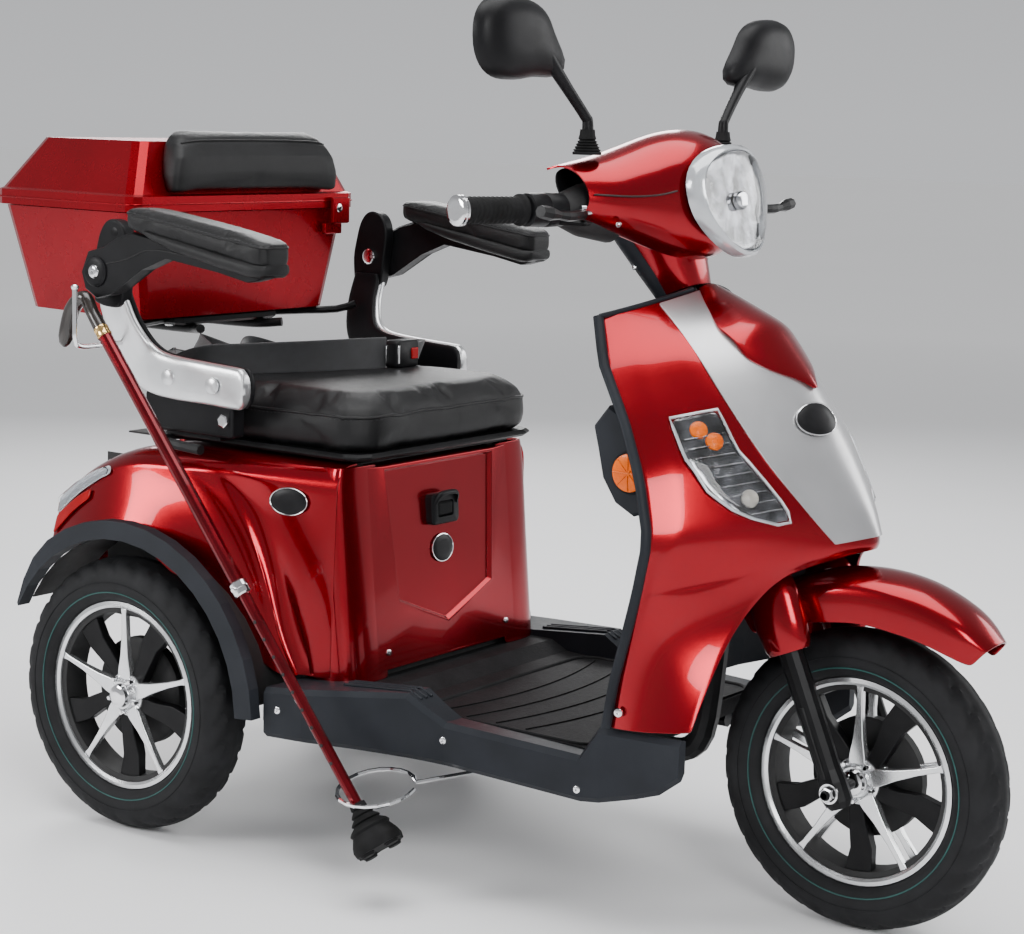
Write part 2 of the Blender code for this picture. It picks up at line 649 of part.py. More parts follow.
def build_head(axis, origin):
    """Red handlebar fairing with its lamp, the instrument panel and the neck covers."""
    rows = [  # |y|, then (x, z) of the rear lip, crown, brow, front, chin and under lip
        (0.000, (0.668, 1.050), (0.735, 1.098), (0.798, 1.083), (0.832, 1.045), (0.846, 0.960), (0.826,
                0.914), (0.790, 0.906)),
        (0.050, (0.666, 1.048), (0.732, 1.093), (0.792, 1.077), (0.824, 1.040), (0.832, 0.962), (0.808,
                0.919), (0.776, 0.911)),
        (0.100, (0.664, 1.044), (0.724, 1.074), (0.772, 1.055), (0.797, 1.020), (0.799, 0.968), (0.776,
                0.937), (0.752, 0.929)),
        (0.150, (0.662, 1.040), (0.712, 1.054), (0.750, 1.040), (0.774, 1.012), (0.778, 0.978), (0.760,
                0.953), (0.738, 0.946)),
        (0.185, (0.662, 1.036), (0.700, 1.045), (0.732, 1.034), (0.754, 1.008), (0.758, 0.982), (0.744,
                0.964), (0.724, 0.958)),
        (0.207, (0.664, 1.032), (0.690, 1.040), (0.716, 1.030), (0.736, 1.008), (0.738, 0.986), (0.726,
                0.972), (0.708, 0.967))]
    grid = []
    for y, *points in [(-r[0], *r[1:]) for r in reversed(rows[1:])] + rows:
        fine = smooth_path([(x, y, z) for x, z in points], 2)
        grid.append([p - origin for p in fine])
    masked_sheet("head_cover", "red_paint", axis, grid, Vector((0.700, 0, 1.000)) - origin, 0.0030)
    lens_grid = []
    for a in np.linspace(0, 2 * math.pi, 24, endpoint=False):
        half_y = 0.086 + 0.010 * math.sin(a)
        half_z = 0.074
        lens_grid.append((half_y * math.cos(a), half_z * math.sin(a)))
    tilt = math.radians(8)
    centre = Vector((0.840, 0, 0.992)) - origin

    def face(y, z, depth):
        x = depth - y * y * 3.2 - max(z, 0) ** 2 * 2.0
        return centre + Vector((x * math.cos(tilt) - z * math.sin(tilt), y,
                                z * math.cos(tilt) + x * math.sin(tilt)))

    lens = [[face(y * k, z * k, d) for y, z in lens_grid] for k, d in
            ((0.60, 0.0135), (1.0, 0.0140), (1.0, 0.0220), (0.88, 0.0280), (0.60, 0.0340), (0.25, 0.0370))]
    loft("headlight_lens", "clear_lens", axis, lens)
    key = Vector((0.660, -0.060, 1.0200)) - origin
    turned("key_switch", "black_plastic", axis, key, key + Vector((-0.016, 0, 0.012)),
           [(0, 0.009), (0.5, 0.009), (0.51, 0.005), (1, 0.005)], 12)


def build_controls(axis, centre):
    """Grips, brake levers and mirrors; gives back the housings that are welded to the bar."""
    housings = []
    for side, sign in (("left", 1), ("right", -1)):
        out = Vector((GRIP_OUT.x, sign * GRIP_OUT.y, 0))
        start = centre + Vector((BAR_HALF[0][0], sign * BAR_HALF[0][1], BAR_HALF[0][2])) + out * 0.0008
        grip_axis = empty(f"grip_axis_{side}", start, axis)
        zero = Vector((0, 0, 0))
        profile = [(0, 0.021), (0.05, 0.021), (0.09, 0.0175), (0.80, 0.0175), (0.82, 0.0195), (0.97,
                0.0195), (1, 0.012)]
        turned(f"grip_{side}", "rubber", grip_axis, zero, out * 0.112, profile, 14)
        hub = centre + Vector((-0.038, sign * 0.240, 0.004))
        housings.append(rod("housing", "black_steel", axis, hub - out * 0.026, hub + out * 0.032, 0.021, 12))
        pivot = hub - out * 0.020 + Vector((0.046, 0, -0.004))
        housings.append(block("perch", "black_steel", axis, pivot + Vector((-0.040, -0.009, -0.0155)),
                              pivot + Vector((0.010, 0.009, -0.0080)), 0.003, steps=1))
        housings.append(block("ear", "black_steel", axis, pivot + Vector((-0.046, -0.007, -0.0140)),
                              pivot + Vector((-0.020, 0.007, 0.0040)), 0.003, steps=1))
        lever_axis = empty(f"brake_lever_axis_{side}", pivot, axis)
        ahead = Vector((0.012, 0, 0))
        route = [zero, ahead + out * 0.020, ahead + out * 0.060 + Vector((0.016, 0, -0.001)),
                 ahead + out * 0.118 + Vector((0.028, 0, 0.006))]
        path = smooth_path(route, 3)
        radii = [0.007] * (len(path) - 3) + [0.006, 0.0095, 0.0085]
        swept(f"brake_lever_{side}", "black_steel", lever_axis, path, radii, 8)
        build_mirror(side, sign, axis)
    return housings


def build_mirror(side, sign, axis):
    """Stalk and head in one piece, swivelling on the boot in the fairing."""
    origin = steer(0.0)
    foot = Vector((0.712, sign * 0.180, 1.0518)) - origin
    swivel = empty(f"mirror_axis_{side}", foot, axis)
    route = [(0, 0, 0.010), (0.0, sign * 0.002, 0.040), (-0.006, sign * 0.030, 0.082), (-0.012,
            sign * 0.088, 0.138)]
    path = smooth_path(route, 3)
    stalk = swept("stalk", "black_plastic", swivel, path, [0.0085] * 4 + [0.0075] * (len(path) - 4), 8)
    boot = turned("boot", "black_plastic", swivel, (0, 0, 0), (0, 0, 0.032),
                  [(0, 0.019), (0.3, 0.017), (0.55, 0.011), (1, 0.0105)], 12)
    centre = Vector((-0.015, sign * 0.149, 0.150))
    loops = []
    for depth, scale in ((0.017, 0.55), (0.010, 0.86), (0.0, 1.0), (-0.013, 1.0)):
        loops.append([centre + Vector((depth, sign * 0.080 * scale * math.cos(a) * (1 + 0.10 * math.sin(a)),
                                       0.052 * scale * math.sin(a)))
                      for a in np.linspace(0, 2 * math.pi, 18, endpoint=False)])
    head = loft("head", "black_plastic", swivel, loops)
    union(f"mirror_{side}", [head, stalk, boot])


# ---------------------------------------------------------------- seat base
def fairing_row(x, sign):
    """One cross-section of a side fairing, from its top inner edge out and down to the arch or sill."""
    top = table(x, [(-0.19, 0.510), (-0.14, 0.545), (-0.09, 0.570), (-0.04, 0.586), (0.02, 0.5895), (0.33,
            0.5880)])
    shoulder = table(x, [(-0.19, 0.292), (-0.05, 0.300), (0.08, 0.287), (0.20, 0.262), (0.33, 0.236)])
    bottom = table(x, [(-0.19, 0.331), (0.05, 0.331), (0.15, 0.322), (0.25, 0.280), (0.33, 0.246)])
    arch = TYRE_R + math.sqrt(max(0.2495 ** 2 - x * x, 0.0))
    low = max(arch, 0.2725)
    points = [(0.186, top), (shoulder - 0.035, top), (shoulder - 0.008, top - 0.006), (shoulder, top - 0.024)]
    for f in (0.35, 0.65, 1.0):
        points.append((shoulder + (bottom - shoulder) * f ** 1.2, (top - 0.024) + (low - top + 0.024) * f))
    return [(x, sign * y, z) for y, z in points]


def build_seat_base(base):
    for side, sign in (("left", 1), ("right", -1)):
        xs = (-0.190, -0.165, -0.13, -0.08, -0.03, 0.03, 0.09, 0.14, 0.18, 0.215, 0.242, 0.29, 0.328)
        grid = [fairing_row(x, sign) for x in xs]
        masked_sheet(f"side_fairing_{side}", "red_paint", base, grid, (0.05, 0, 0.40))
        loops = []
        for angle in np.linspace(2, 153, 17):
            a = math.radians(angle)
            rim = table(angle, [(2, 0.272), (130, 0.270), (153, 0.250)])
            loops.append([(r * math.cos(a), sign * y, TYRE_R + r * math.sin(a))
                          for r, y in ((0.2425, 0.3360), (0.2425, 0.3600), (rim, 0.3560), (rim, 0.3360))])
        loft(f"wheel_arch_flare_{side}", "slate_plastic", base, loops)
    rows = []
    for z in (0.300, 0.36, 0.42, 0.497):
        rows.append([(-0.1880, y, z) for y in np.linspace(-0.228, 0.228, 6)])
    masked_sheet("rear_panel", "red_paint", base, rows, (0, 0, 0.40))
    rows = []
    for z in np.linspace(0.5800, 0.2740, 6):
        front = 0.365 - 0.030 * (z - 0.27) / 0.31
        rows.append([(front - dx, y, z) for y, dx in
                     ((-0.2250, 0.030), (-0.186, 0.022), (-0.172, 0.002), (-0.10, 0.001), (0, 0), (0.10,
                             0.001),
                      (0.172, 0.002), (0.186, 0.022), (0.2250, 0.030))])
    masked_sheet("front_panel", "red_paint", base, rows, (0, 0, 0.40))
    flap = empty("charge_flap_axis", (0.365 - 0.030 * (0.498 - 0.27) / 0.31 + 0.0072, 0, 0.511), base)
    block("charge_flap", "rubber", flap, (-0.006, -0.018, -0.022), (0.0, 0.018, 0.0), 0.003)


# ---------------------------------------------------------------- seat
BRACKET_ROUTE = [  # centre (x, y, z) and half section (dx, dz) of the cast seat bracket, front to top
    (0.176, 0.264, 0.690, 0.000, 0.022), (0.166, 0.264, 0.690, 0.000, 0.031), (0.100, 0.264, 0.693, 0.000,
            0.032),
    (0.040, 0.266, 0.696, 0.003, 0.033), (0.000, 0.268, 0.702, 0.012, 0.032), (-0.030, 0.272, 0.718, 0.024,
            0.026),
    (-0.047, 0.280, 0.745, 0.031, 0.014), (-0.055, 0.292, 0.780, 0.030, 0.004), (-0.056, 0.304, 0.812,
            0.028, 0.000)]


def build_seat(base):
    seat = empty("seat_slide", (0, 0, 0), base)
    block("seat_pan", "black_steel", seat, (SEAT_X[0] + 0.004, -0.225, 0.5945), (SEAT_X[1] - 0.012, 0.225,
            0.6050), 0.03)
    mid_x, half_x = (SEAT_X[0] + SEAT_X[1]) / 2, (SEAT_X[1] - SEAT_X[0]) / 2
    loops = []
    for z, inset, radius in ((SEAT_BOTTOM_Z, 0.008, 0.05), (0.615, 0, 0.06), (0.664, 0, 0.06), (0.682,
            0.010, 0.06),
                             (SEAT_TOP_Z, 0.032, 0.05)):
        loops.append([(x, y, z) for x, y in rounded_rect(mid_x, 0, half_x - inset, SEAT_HALF - inset,
                                                         radius, 3)])
    loft("seat_cushion", "leather", seat, loops)
    lever = empty("seat_lever_axis", (0.020, -0.300, 0.6035), seat)
    route = [(0, 0.060, 0.0), (0, 0.010, 0.0), (0.012, 0, 0), (0.060, -0.002, -0.004), (0.100, -0.004,
            -0.006)]
    path = smooth_path(route, 2)
    swept("seat_lever", "black_steel", lever, path, [0.005] * (len(path) - 4) + [0.008] * 4, 8)
    knuckle = [(-0.086, 0.856), (-0.078, 0.8000), (-0.024, 0.8000), (-0.018, 0.850), (-0.020, 0.905),
               (-0.034, 0.931),
               (-0.056, 0.928), (-0.074, 0.900)]
    arm = [(-0.086, 0.852), (-0.078, 0.828), (-0.054, 0.814), (-0.022, 0.822), (0.040, 0.862), (0.095, 0.884),
           (0.200, 0.868), (0.255, 0.857), (0.282, 0.864), (0.284, 0.8735), (0.160, 0.8945), (0.022, 0.9175),
           (-0.010, 0.908), (-0.040, 0.892), (-0.072, 0.884)]
    for side, sign in (("left", 1), ("right", -1)):
        low, high = sorted((sign * 0.2385, sign * 0.2700))
        spacer = block("spacer", "cast_silver", seat, (-0.030, low, 0.6140), (0.150, high, 0.6700), 0.006,
                       steps=1)
        loops = []
        for x, y, z, dx, dz in BRACKET_ROUTE:
            side_in, side_out = (y - 0.014) * sign, (y + 0.014) * sign
            loops.append([(x - dx, side_in, z - dz), (x - dx, side_out - 0.004 * sign, z - dz),
                          (x - dx * 0.85, side_out, z - dz * 0.85), (x + dx * 0.85, side_out, z + dz * 0.85),
                          (x + dx, side_out - 0.004 * sign, z + dz), (x + dx, side_in, z + dz)])
        plate = loft("plate", "cast_silver", seat, loops)
        hinge = prism_y("hinge", "cast_silver", seat, knuckle, sign * 0.2980, sign * 0.3210, 0.003)
        union(f"seat_bracket_{side}", [plate, spacer, hinge])
        pivot = (ARM_PIVOT[0], sign * ARM_Y, ARM_PIVOT[1])
        swing = empty(f"armrest_axis_{side}", pivot, seat)
        shape = [(x - pivot[0], z - pivot[2]) for x, z in arm]
        shift = -sign * ARM_Y
        prism_y(f"armrest_arm_{side}", "black_plastic", swing, shape, sign * 0.3216 + shift,
                sign * 0.3500 + shift, 0.004)
        loops = []
        for x, grow in ((0.012, -0.010), (0.024, 0), (0.10, 0), (0.19, 0), (0.272, 0), (0.291, -0.010)):
            f = (x - 0.012) / 0.279
            low_z, high_z = 0.9215 - 0.0455 * f + 0.0006, 0.957 - 0.040 * f
            low_z = max(low_z, 0.9183 - 0.1680 * (x - 0.022) + 0.0008)
            loops.append([(x - pivot[0], sign * y + shift, z - pivot[2]) for y, z in rounded_rect(
                ARM_Y, (low_z + high_z) / 2, 0.036 + grow, (high_z - low_z) / 2 + grow * 0.3, 0.011, 2)])
        loft(f"armrest_pad_{side}", "leather", swing, loops)
    build_belt(seat)
    build_box(seat)
    build_cane(seat)


def build_belt(seat):
    """Lap belt lying across the cushion, its buckle and the tongue."""
    route = [(0.02, -0.205, 0.702), (0.05, -0.150, 0.704), (0.10, -0.06, 0.706), (0.135, 0.03, 0.712),
             (0.150, 0.100, 0.714)]
    path = smooth_path(route, 4)
    loops = []
    for i, p in enumerate(path):
        lift = 0.020
        loops.append([p + Vector((0, 0, dz)) + Vector((dx, 0, 0)) for dx, dz in
                      ((-0.0012, -0.010), (0.0012, -0.010), (0.0012, lift), (-0.0012, lift))])
    loft("lap_belt", "webbing", seat, loops)
    block("belt_buckle", "black_plastic", seat, (0.138, 0.106, 0.6915), (0.164, 0.165, 0.738), 0.006)


# ---------------------------------------------------------------- rear box
def box_ring(x0, x1, half_front, half_rear, z, radius=0.02):
    """Plan outline of the box at a height: a tapered rectangle with rounded corners."""
    points = []
    for x, y in rounded_rect((x0 + x1) / 2, 0, (x1 - x0) / 2, 1.0, radius, 2):
        f = (x - x0) / (x1 - x0)
        half = half_rear + (half_front - half_rear) * f
        points.append((x, math.copysign(half - (1.0 - abs(y)), y), z))
    return points


def build_box(seat):
    outer = [box_ring(-0.378, -0.086, 0.222, 0.180, 0.772), box_ring(-0.406, -0.068, 0.254, 0.214, 0.938)]
    inner = [box_ring(-0.402, -0.072, 0.250, 0.210, 0.938, 0.018), box_ring(-0.374, -0.090, 0.218, 0.176,
            0.776, 0.018)]
    loft("top_box_tub", "red_paint", seat, outer + inner)
    hinge = empty("top_box_hinge", (-0.414, 0, 0.9445), seat)
    o = Vector((-0.414, 0, 0.9445))
    outside = [box_ring(-0.352, -0.092, 0.218, 0.178, 1.048), box_ring(-0.410, -0.064, 0.259, 0.217, 0.967),
               box_ring(-0.414, -0.058, 0.266, 0.224, 0.964), box_ring(-0.414, -0.058, 0.266, 0.224, 0.9400)]
    hollow = [box_ring(-0.412, -0.062, 0.262, 0.220, 0.9400, 0.018),
              box_ring(-0.412, -0.062, 0.262, 0.220, 0.960, 0.018),
              box_ring(-0.405, -0.068, 0.255, 0.213, 0.964, 0.018),
              box_ring(-0.348, -0.096, 0.214, 0.174, 1.044, 0.018)]
    loft("top_box_lid", "red_paint", hinge, [[Vector(p) - o for p in ring] for ring in outside + hollow])
    loops = []
    for z, front, back, half in ((0.9700, -0.044, -0.0640, 0.196), (0.985, -0.036, -0.0690, 0.200),
                                 (1.020, -0.038, -0.0815, 0.192), (1.048, -0.050, -0.0912, 0.180),
                                 (1.068, -0.074, -0.0980, 0.160)):
        loops.append([Vector(p) - o for p in [(front, -half + 0.02, z), (front, half - 0.02, z), (back,
                half, z),
                                              (back, -half, z)]])
    loft("backrest_pad", "leather", hinge, loops)
    pieces = [block("tray", "black_steel", seat, (-0.300, -0.120, 0.7560), (-0.100, 0.120, 0.7712), 0.01,
                    steps=1)]
    for sign in (1, -1):
        route = [(-0.140, sign * 0.110, 0.7635), (-0.110, sign * 0.20, 0.7635), (-0.080, sign * 0.245, 0.765),
                 (-0.055, sign * 0.2650, 0.775)]
        pieces.append(swept("arm", "black_steel", seat, smooth_path(route, 2), 0.0065, 8))
    union("top_box_carrier", pieces)
    latch = empty("box_latch_axis", (-0.0540, 0.215, 0.960), hinge)
    latch.location = Vector((-0.0540, 0.215, 0.958)) - o
    block("box_latch", "black_plastic", latch, (0.0, -0.022, -0.044), (0.007, 0.022, 0.0), 0.002)


# ---------------------------------------------------------------- cane
CANE_TOP = Vector((-0.018, -0.368, 0.766))
CANE_FOOT = Vector((0.487, -0.368, 0.134))


def cane_point(f):
    return CANE_TOP.lerp(CANE_FOOT, f)


def build_cane(seat):
    cane = empty("cane_frame", (0, 0, 0), seat)
    route = [cane_point(-0.012), cane_point(-0.045), CANE_TOP + Vector((-0.040, 0, 0.050)),
             CANE_TOP + Vector((-0.066, 0, 0.030)), CANE_TOP + Vector((-0.082, 0, -0.020))]
    path = smooth_path(route, 3)
    swept("cane_handle", "black_plastic", cane, path, [0.0105] * (len(path) - 5) + [0.012] * 3 + [0.012,
            0.010], 10)
    rod("cane_shaft_upper", "cane_red", cane, cane_point(-0.0112), cane_point(0.5640), 0.0105, 14)
    axis = empty("cane_extension", (0, 0, 0), cane)
    rod("cane_shaft_lower", "cane_red", axis, cane_point(0.5648), cane_point(0.990), 0.0083, 14)
    profile = [(0, 0.012), (0.25, 0.017), (0.4, 0.022), (0.75, 0.0380), (1, 0.0405)]
    turned("cane_foot", "rubber", axis, cane_point(0.9907), cane_point(1.078), profile, 16)


def build_cane_holder(base):
    """Chrome wire ring under the floor edge, one rod bent into an arm and a hoop."""
    centre = Vector((0.490, -0.334, 0.157))
    radius, tilt = 0.056, math.tan(math.radians(13))
    points = [Vector((0.620, -0.160, 0.186)), Vector((0.580, -0.215, 0.172))]
    start, sweep = math.radians(40), math.radians(338)
    for k in range(21):
        a = start + sweep * k / 20
        dx, dy = radius * math.cos(a), radius * math.sin(a)
        points.append(centre + Vector((dx, dy, dy * tilt)))
    swept("cane_ring", "chrome", base, points, 0.0032, 6)


def main():
    clear_scene()
    base = empty("scooter_origin", (ORIGIN_SHIFT_X, 0, 0))
    build_frame(base)
    build_rear_drive(base)
    build_wheels(base)
    build_floor(base)
    build_shield(base)
    build_inner_shield(base)
    build_steering(base)
    build_front(base)
    build_seat_base(base)
    build_seat(base)
    build_cane_holder(base)


main()
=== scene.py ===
"""Look of the three-wheeled mobility scooter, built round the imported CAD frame.

Lengths are metres.  Points are given in scooter coordinates, measured from the ground under the
rear axle (+X forward, +Y to the rider's left, +Z up), and moved into the row frame by SHIFT_X.
"""
import math

import bmesh
import bpy
import numpy as np
from mathutils import Matrix, Vector


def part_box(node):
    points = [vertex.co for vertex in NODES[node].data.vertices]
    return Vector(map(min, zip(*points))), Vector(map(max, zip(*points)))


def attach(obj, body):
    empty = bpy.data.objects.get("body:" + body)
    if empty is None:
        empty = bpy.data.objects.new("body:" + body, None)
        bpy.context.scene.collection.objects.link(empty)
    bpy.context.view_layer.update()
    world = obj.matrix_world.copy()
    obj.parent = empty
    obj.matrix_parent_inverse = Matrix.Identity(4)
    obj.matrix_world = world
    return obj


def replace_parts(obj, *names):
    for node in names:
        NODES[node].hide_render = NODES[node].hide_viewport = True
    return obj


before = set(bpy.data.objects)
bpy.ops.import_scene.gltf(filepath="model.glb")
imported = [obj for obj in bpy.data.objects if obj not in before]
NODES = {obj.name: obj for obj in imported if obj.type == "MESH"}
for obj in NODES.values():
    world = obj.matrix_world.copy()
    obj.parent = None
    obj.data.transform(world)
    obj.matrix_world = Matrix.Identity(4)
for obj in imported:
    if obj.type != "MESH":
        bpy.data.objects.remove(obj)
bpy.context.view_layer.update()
SHIFT_X = -0.4395

# ---------------------------------------------------------------- dimensions shared with the solids
WHEELBASE = 1.082
TYRE_R = 0.211
TYRE_HALF_W = 0.042
RIM_R = 0.1455
REAR_TRACK_HALF = 0.320
RAKE = math.radians(23.0)
FORK_AHEAD = 0.032
BAR_S = 0.842
DECK_Z = 0.245
ARM_Y = 0.327
ARM_PIVOT = (-0.052, 0.855)
WEBBING_THICK = 0.0022
REAR_FACE_X = -0.1895
SIDES = (("left", 1), ("right", -1))

# ---------------------------------------------------------------- cloth puffing of the padded pieces
CLOTH_FRAMES = 20
CLOTH_QUALITY = 6
CLOTH_MASS = 0.4
CLOTH_STRETCH = 18
CLOTH_BENDING = 2.0


# ---------------------------------------------------------------- camera, lights, floor
def make_camera():
    yaw, pitch, roll = (math.radians(a) for a in (35.43, 8.72, 1.48))
    ahead = Vector((-math.sin(yaw) * math.cos(pitch), math.cos(yaw) * math.cos(pitch), -math.sin(pitch)))
    right = Vector((math.cos(yaw), math.sin(yaw), 0))
    up = right.cross(ahead)
    across = right * math.cos(roll) + up * math.sin(roll)
    upright = up * math.cos(roll) - right * math.sin(roll)
    data = bpy.data.cameras.new("camera")
    data.sensor_width = 36.0
    data.lens = 80.75
    data.clip_end = 60.0
    cam = bpy.data.objects.new("camera", data)
    bpy.context.scene.collection.objects.link(cam)
    turn = Matrix((across, upright, -ahead)).transposed().to_4x4()
    cam.matrix_world = Matrix.Translation((2.458 + SHIFT_X, -2.790, 1.103)) @ turn
    bpy.context.scene.camera = cam


def area_light(name, place, target, size, power, colour=(1, 1, 1)):
    data = bpy.data.lights.new(name, "AREA")
    data.shape = "RECTANGLE"
    data.size, data.size_y = size
    data.energy = power
    data.color = colour
    lamp = bpy.data.objects.new(name, data)
    bpy.context.scene.collection.objects.link(lamp)
    lamp.location = place
    lamp.rotation_euler = (Vector(target) - Vector(place)).to_track_quat("-Z", "Y").to_euler()


def make_stage():
    world = bpy.data.worlds.new("studio")
    world.use_nodes = True
    back = world.node_tree.nodes["Background"]
    back.inputs["Color"].default_value = (0.96, 0.97, 1.0, 1)
    height = node(world.node_tree, "ShaderNodeSeparateXYZ",
                  {0: node(world.node_tree, "ShaderNodeTexCoord").outputs["Generated"]})
    fade = node(world.node_tree, "ShaderNodeMapRange",
                {"Value": height.outputs["Z"], "From Max": 0.30, "To Min": 0.66,
                                                        "To Max": 0.38})
    world.node_tree.links.new(fade.outputs["Result"], back.inputs["Strength"])
    bpy.context.scene.world = world
    area_light("overhead", (0.2, -0.2, 3.4), (0, 0, 0.4), (3.4, 2.4), 150)
    area_light("front_key", (3.4, -2.6, 2.2), (0.2, 0, 0.6), (1.3, 2.0), 120)
    area_light("side_fill", (-2.4, -3.4, 2.0), (-0.2, 0, 0.5), (1.6, 1.2), 110)
    area_light("back_rim", (-2.6, 2.8, 2.4), (0, 0, 0.7), (2.2, 1.4), 90)
    area_light("left_fill", (2.2, 3.4, 1.8), (0.2, 0, 0.5), (2.0, 1.6), 50)
    bm = bmesh.new()
    bmesh.ops.create_grid(bm, x_segments=8, y_segments=8, size=40.0)
    mesh = bpy.data.meshes.new("floor")
    bm.to_mesh(mesh)
    bm.free()
    floor = bpy.data.objects.new("floor", mesh)
    bpy.context.scene.collection.objects.link(floor)
    paint = look("floor_paint", (0.83, 0.83, 0.84), (0.86, 0.86, 0.87), 0.6, rough=(0.55, 0.65),
                 bump=("noise", 60.0, 0.02))
    tree = paint.node_tree
    place = node(tree, "ShaderNodeNewGeometry").outputs["Position"]
    reach = node(tree, "ShaderNodeVectorMath", {0: place}, operation="LENGTH").outputs["Value"]
    glow = node(tree, "ShaderNodeMapRange", {"Value": reach, "From Min": 2.5, "From Max": 9.0, "To Max": 0.30})
    shader = tree.nodes["Principled BSDF"]
    shader.inputs["Emission Color"].default_value = (1, 1, 1, 1)
    tree.links.new(glow.outputs["Result"], shader.inputs["Emission Strength"])
    floor.data.materials.append(paint)


# ---------------------------------------------------------------- materials
def node(tree, kind, inputs=None, **values):
    made = tree.nodes.new(kind)
    for key, value in values.items():
        setattr(made, key, value)
    for key, value in (inputs or {}).items():
        if isinstance(value, bpy.types.NodeSocket):
            tree.links.new(value, made.inputs[key])
        else:
            made.inputs[key].default_value = value
    return made


def pattern(tree, place, spec):
    """Height field of one surface pattern: noise, cells, wave bands or woven threads."""
    kind, scale = spec[0], spec[1]
    if kind == "noise":
        return node(tree, "ShaderNodeTexNoise", {"Vector": place, "Scale": scale, "Detail": 4.0}).outputs["Fac"]
    if kind == "cells":
        return node(tree, "ShaderNodeTexVoronoi", {"Vector": place, "Scale": scale}).outputs["Distance"]
    if kind == "leather":
        cells = node(tree, "ShaderNodeTexVoronoi", {"Vector": place, "Scale": scale},
                     feature="DISTANCE_TO_EDGE").outputs["Distance"]
        ramp = node(tree, "ShaderNodeMapRange", {"Value": cells, "From Max": 0.18})
        folds = node(tree, "ShaderNodeTexNoise", {"Vector": place, "Scale": scale * 0.05, "Detail": 6.0})
        return node(tree, "ShaderNodeMath", {0: ramp.outputs["Result"], 1: folds.outputs["Fac"]},
                    operation="ADD").outputs[0]
    waves = [node(tree, "ShaderNodeTexWave", {"Vector": place, "Scale": scale, "Distortion": 0.4}, bands_direction=d)
             for d in ("DIAGONAL", "X" if kind == "bands" else "Z")]
    return node(tree, "ShaderNodeMath", {0: waves[0].outputs["Fac"], 1: waves[1].outputs["Fac"]},
                operation="MULTIPLY").outputs[0]


def look(name, dark, light, scale, rough=(0.4, 0.5), bump=None, metal=0.0, edge_highlight=0.0, sockets=None):
    """Principled material whose colour and roughness vary over the surface, with a fine relief and, if asked, a painted
    highlight on sharp edges.
    """
    mat = bpy.data.materials.new(name)
    mat.use_nodes = True
    tree = mat.node_tree
    shader = tree.nodes["Principled BSDF"]
    place = node(tree, "ShaderNodeTexCoord").outputs["Object"]
    cloud = node(tree, "ShaderNodeTexNoise", {"Vector": place, "Scale": scale, "Detail": 5.0}).outputs["Fac"]
    ramp = node(tree, "ShaderNodeValToRGB", {"Fac": cloud})
    ramp.color_ramp.elements[0].position = 0.35
    ramp.color_ramp.elements[1].position = 0.65
    ramp.color_ramp.elements[0].color = (*dark, 1)
    ramp.color_ramp.elements[1].color = (*light, 1)
    colour = ramp.outputs["Color"]
    # Sharp convex edges get a paler colour mixed in: a painted highlight along the edges.
    if edge_highlight:
        edge = node(tree, "ShaderNodeNewGeometry").outputs["Pointiness"]
        mask = node(tree, "ShaderNodeMapRange", {"Value": edge, "From Min": 0.52, "From Max": 0.62, "To Max": edge_highlight})
        pale = tuple(min(1.0, c * 2.2 + 0.03) for c in light)
        colour = node(tree, "ShaderNodeMixRGB", {"Fac": mask.outputs["Result"], "Color1": colour,
                                                 "Color2": (*pale, 1)}).outputs["Color"]
    tree.links.new(colour, shader.inputs["Base Color"])
    fine = node(tree, "ShaderNodeTexNoise", {"Vector": place, "Scale": scale * 7, "Detail": 3.0}).outputs["Fac"]
    spread = node(tree, "ShaderNodeMapRange", {"Value": fine, "To Min": rough[0], "To Max": rough[1]})
    tree.links.new(spread.outputs["Result"], shader.inputs["Roughness"])
    shader.inputs["Metallic"].default_value = metal
    for key, value in (sockets or {}).items():
        shader.inputs[key].default_value = value
    if bump:
        relief = node(tree, "ShaderNodeBump", {"Height": pattern(tree, place, bump), "Strength": bump[2],
                                               "Distance": bump[3] if len(bump) > 3 else 0.0006})
        tree.links.new(relief.outputs["Normal"], shader.inputs["Normal"])
    return mat


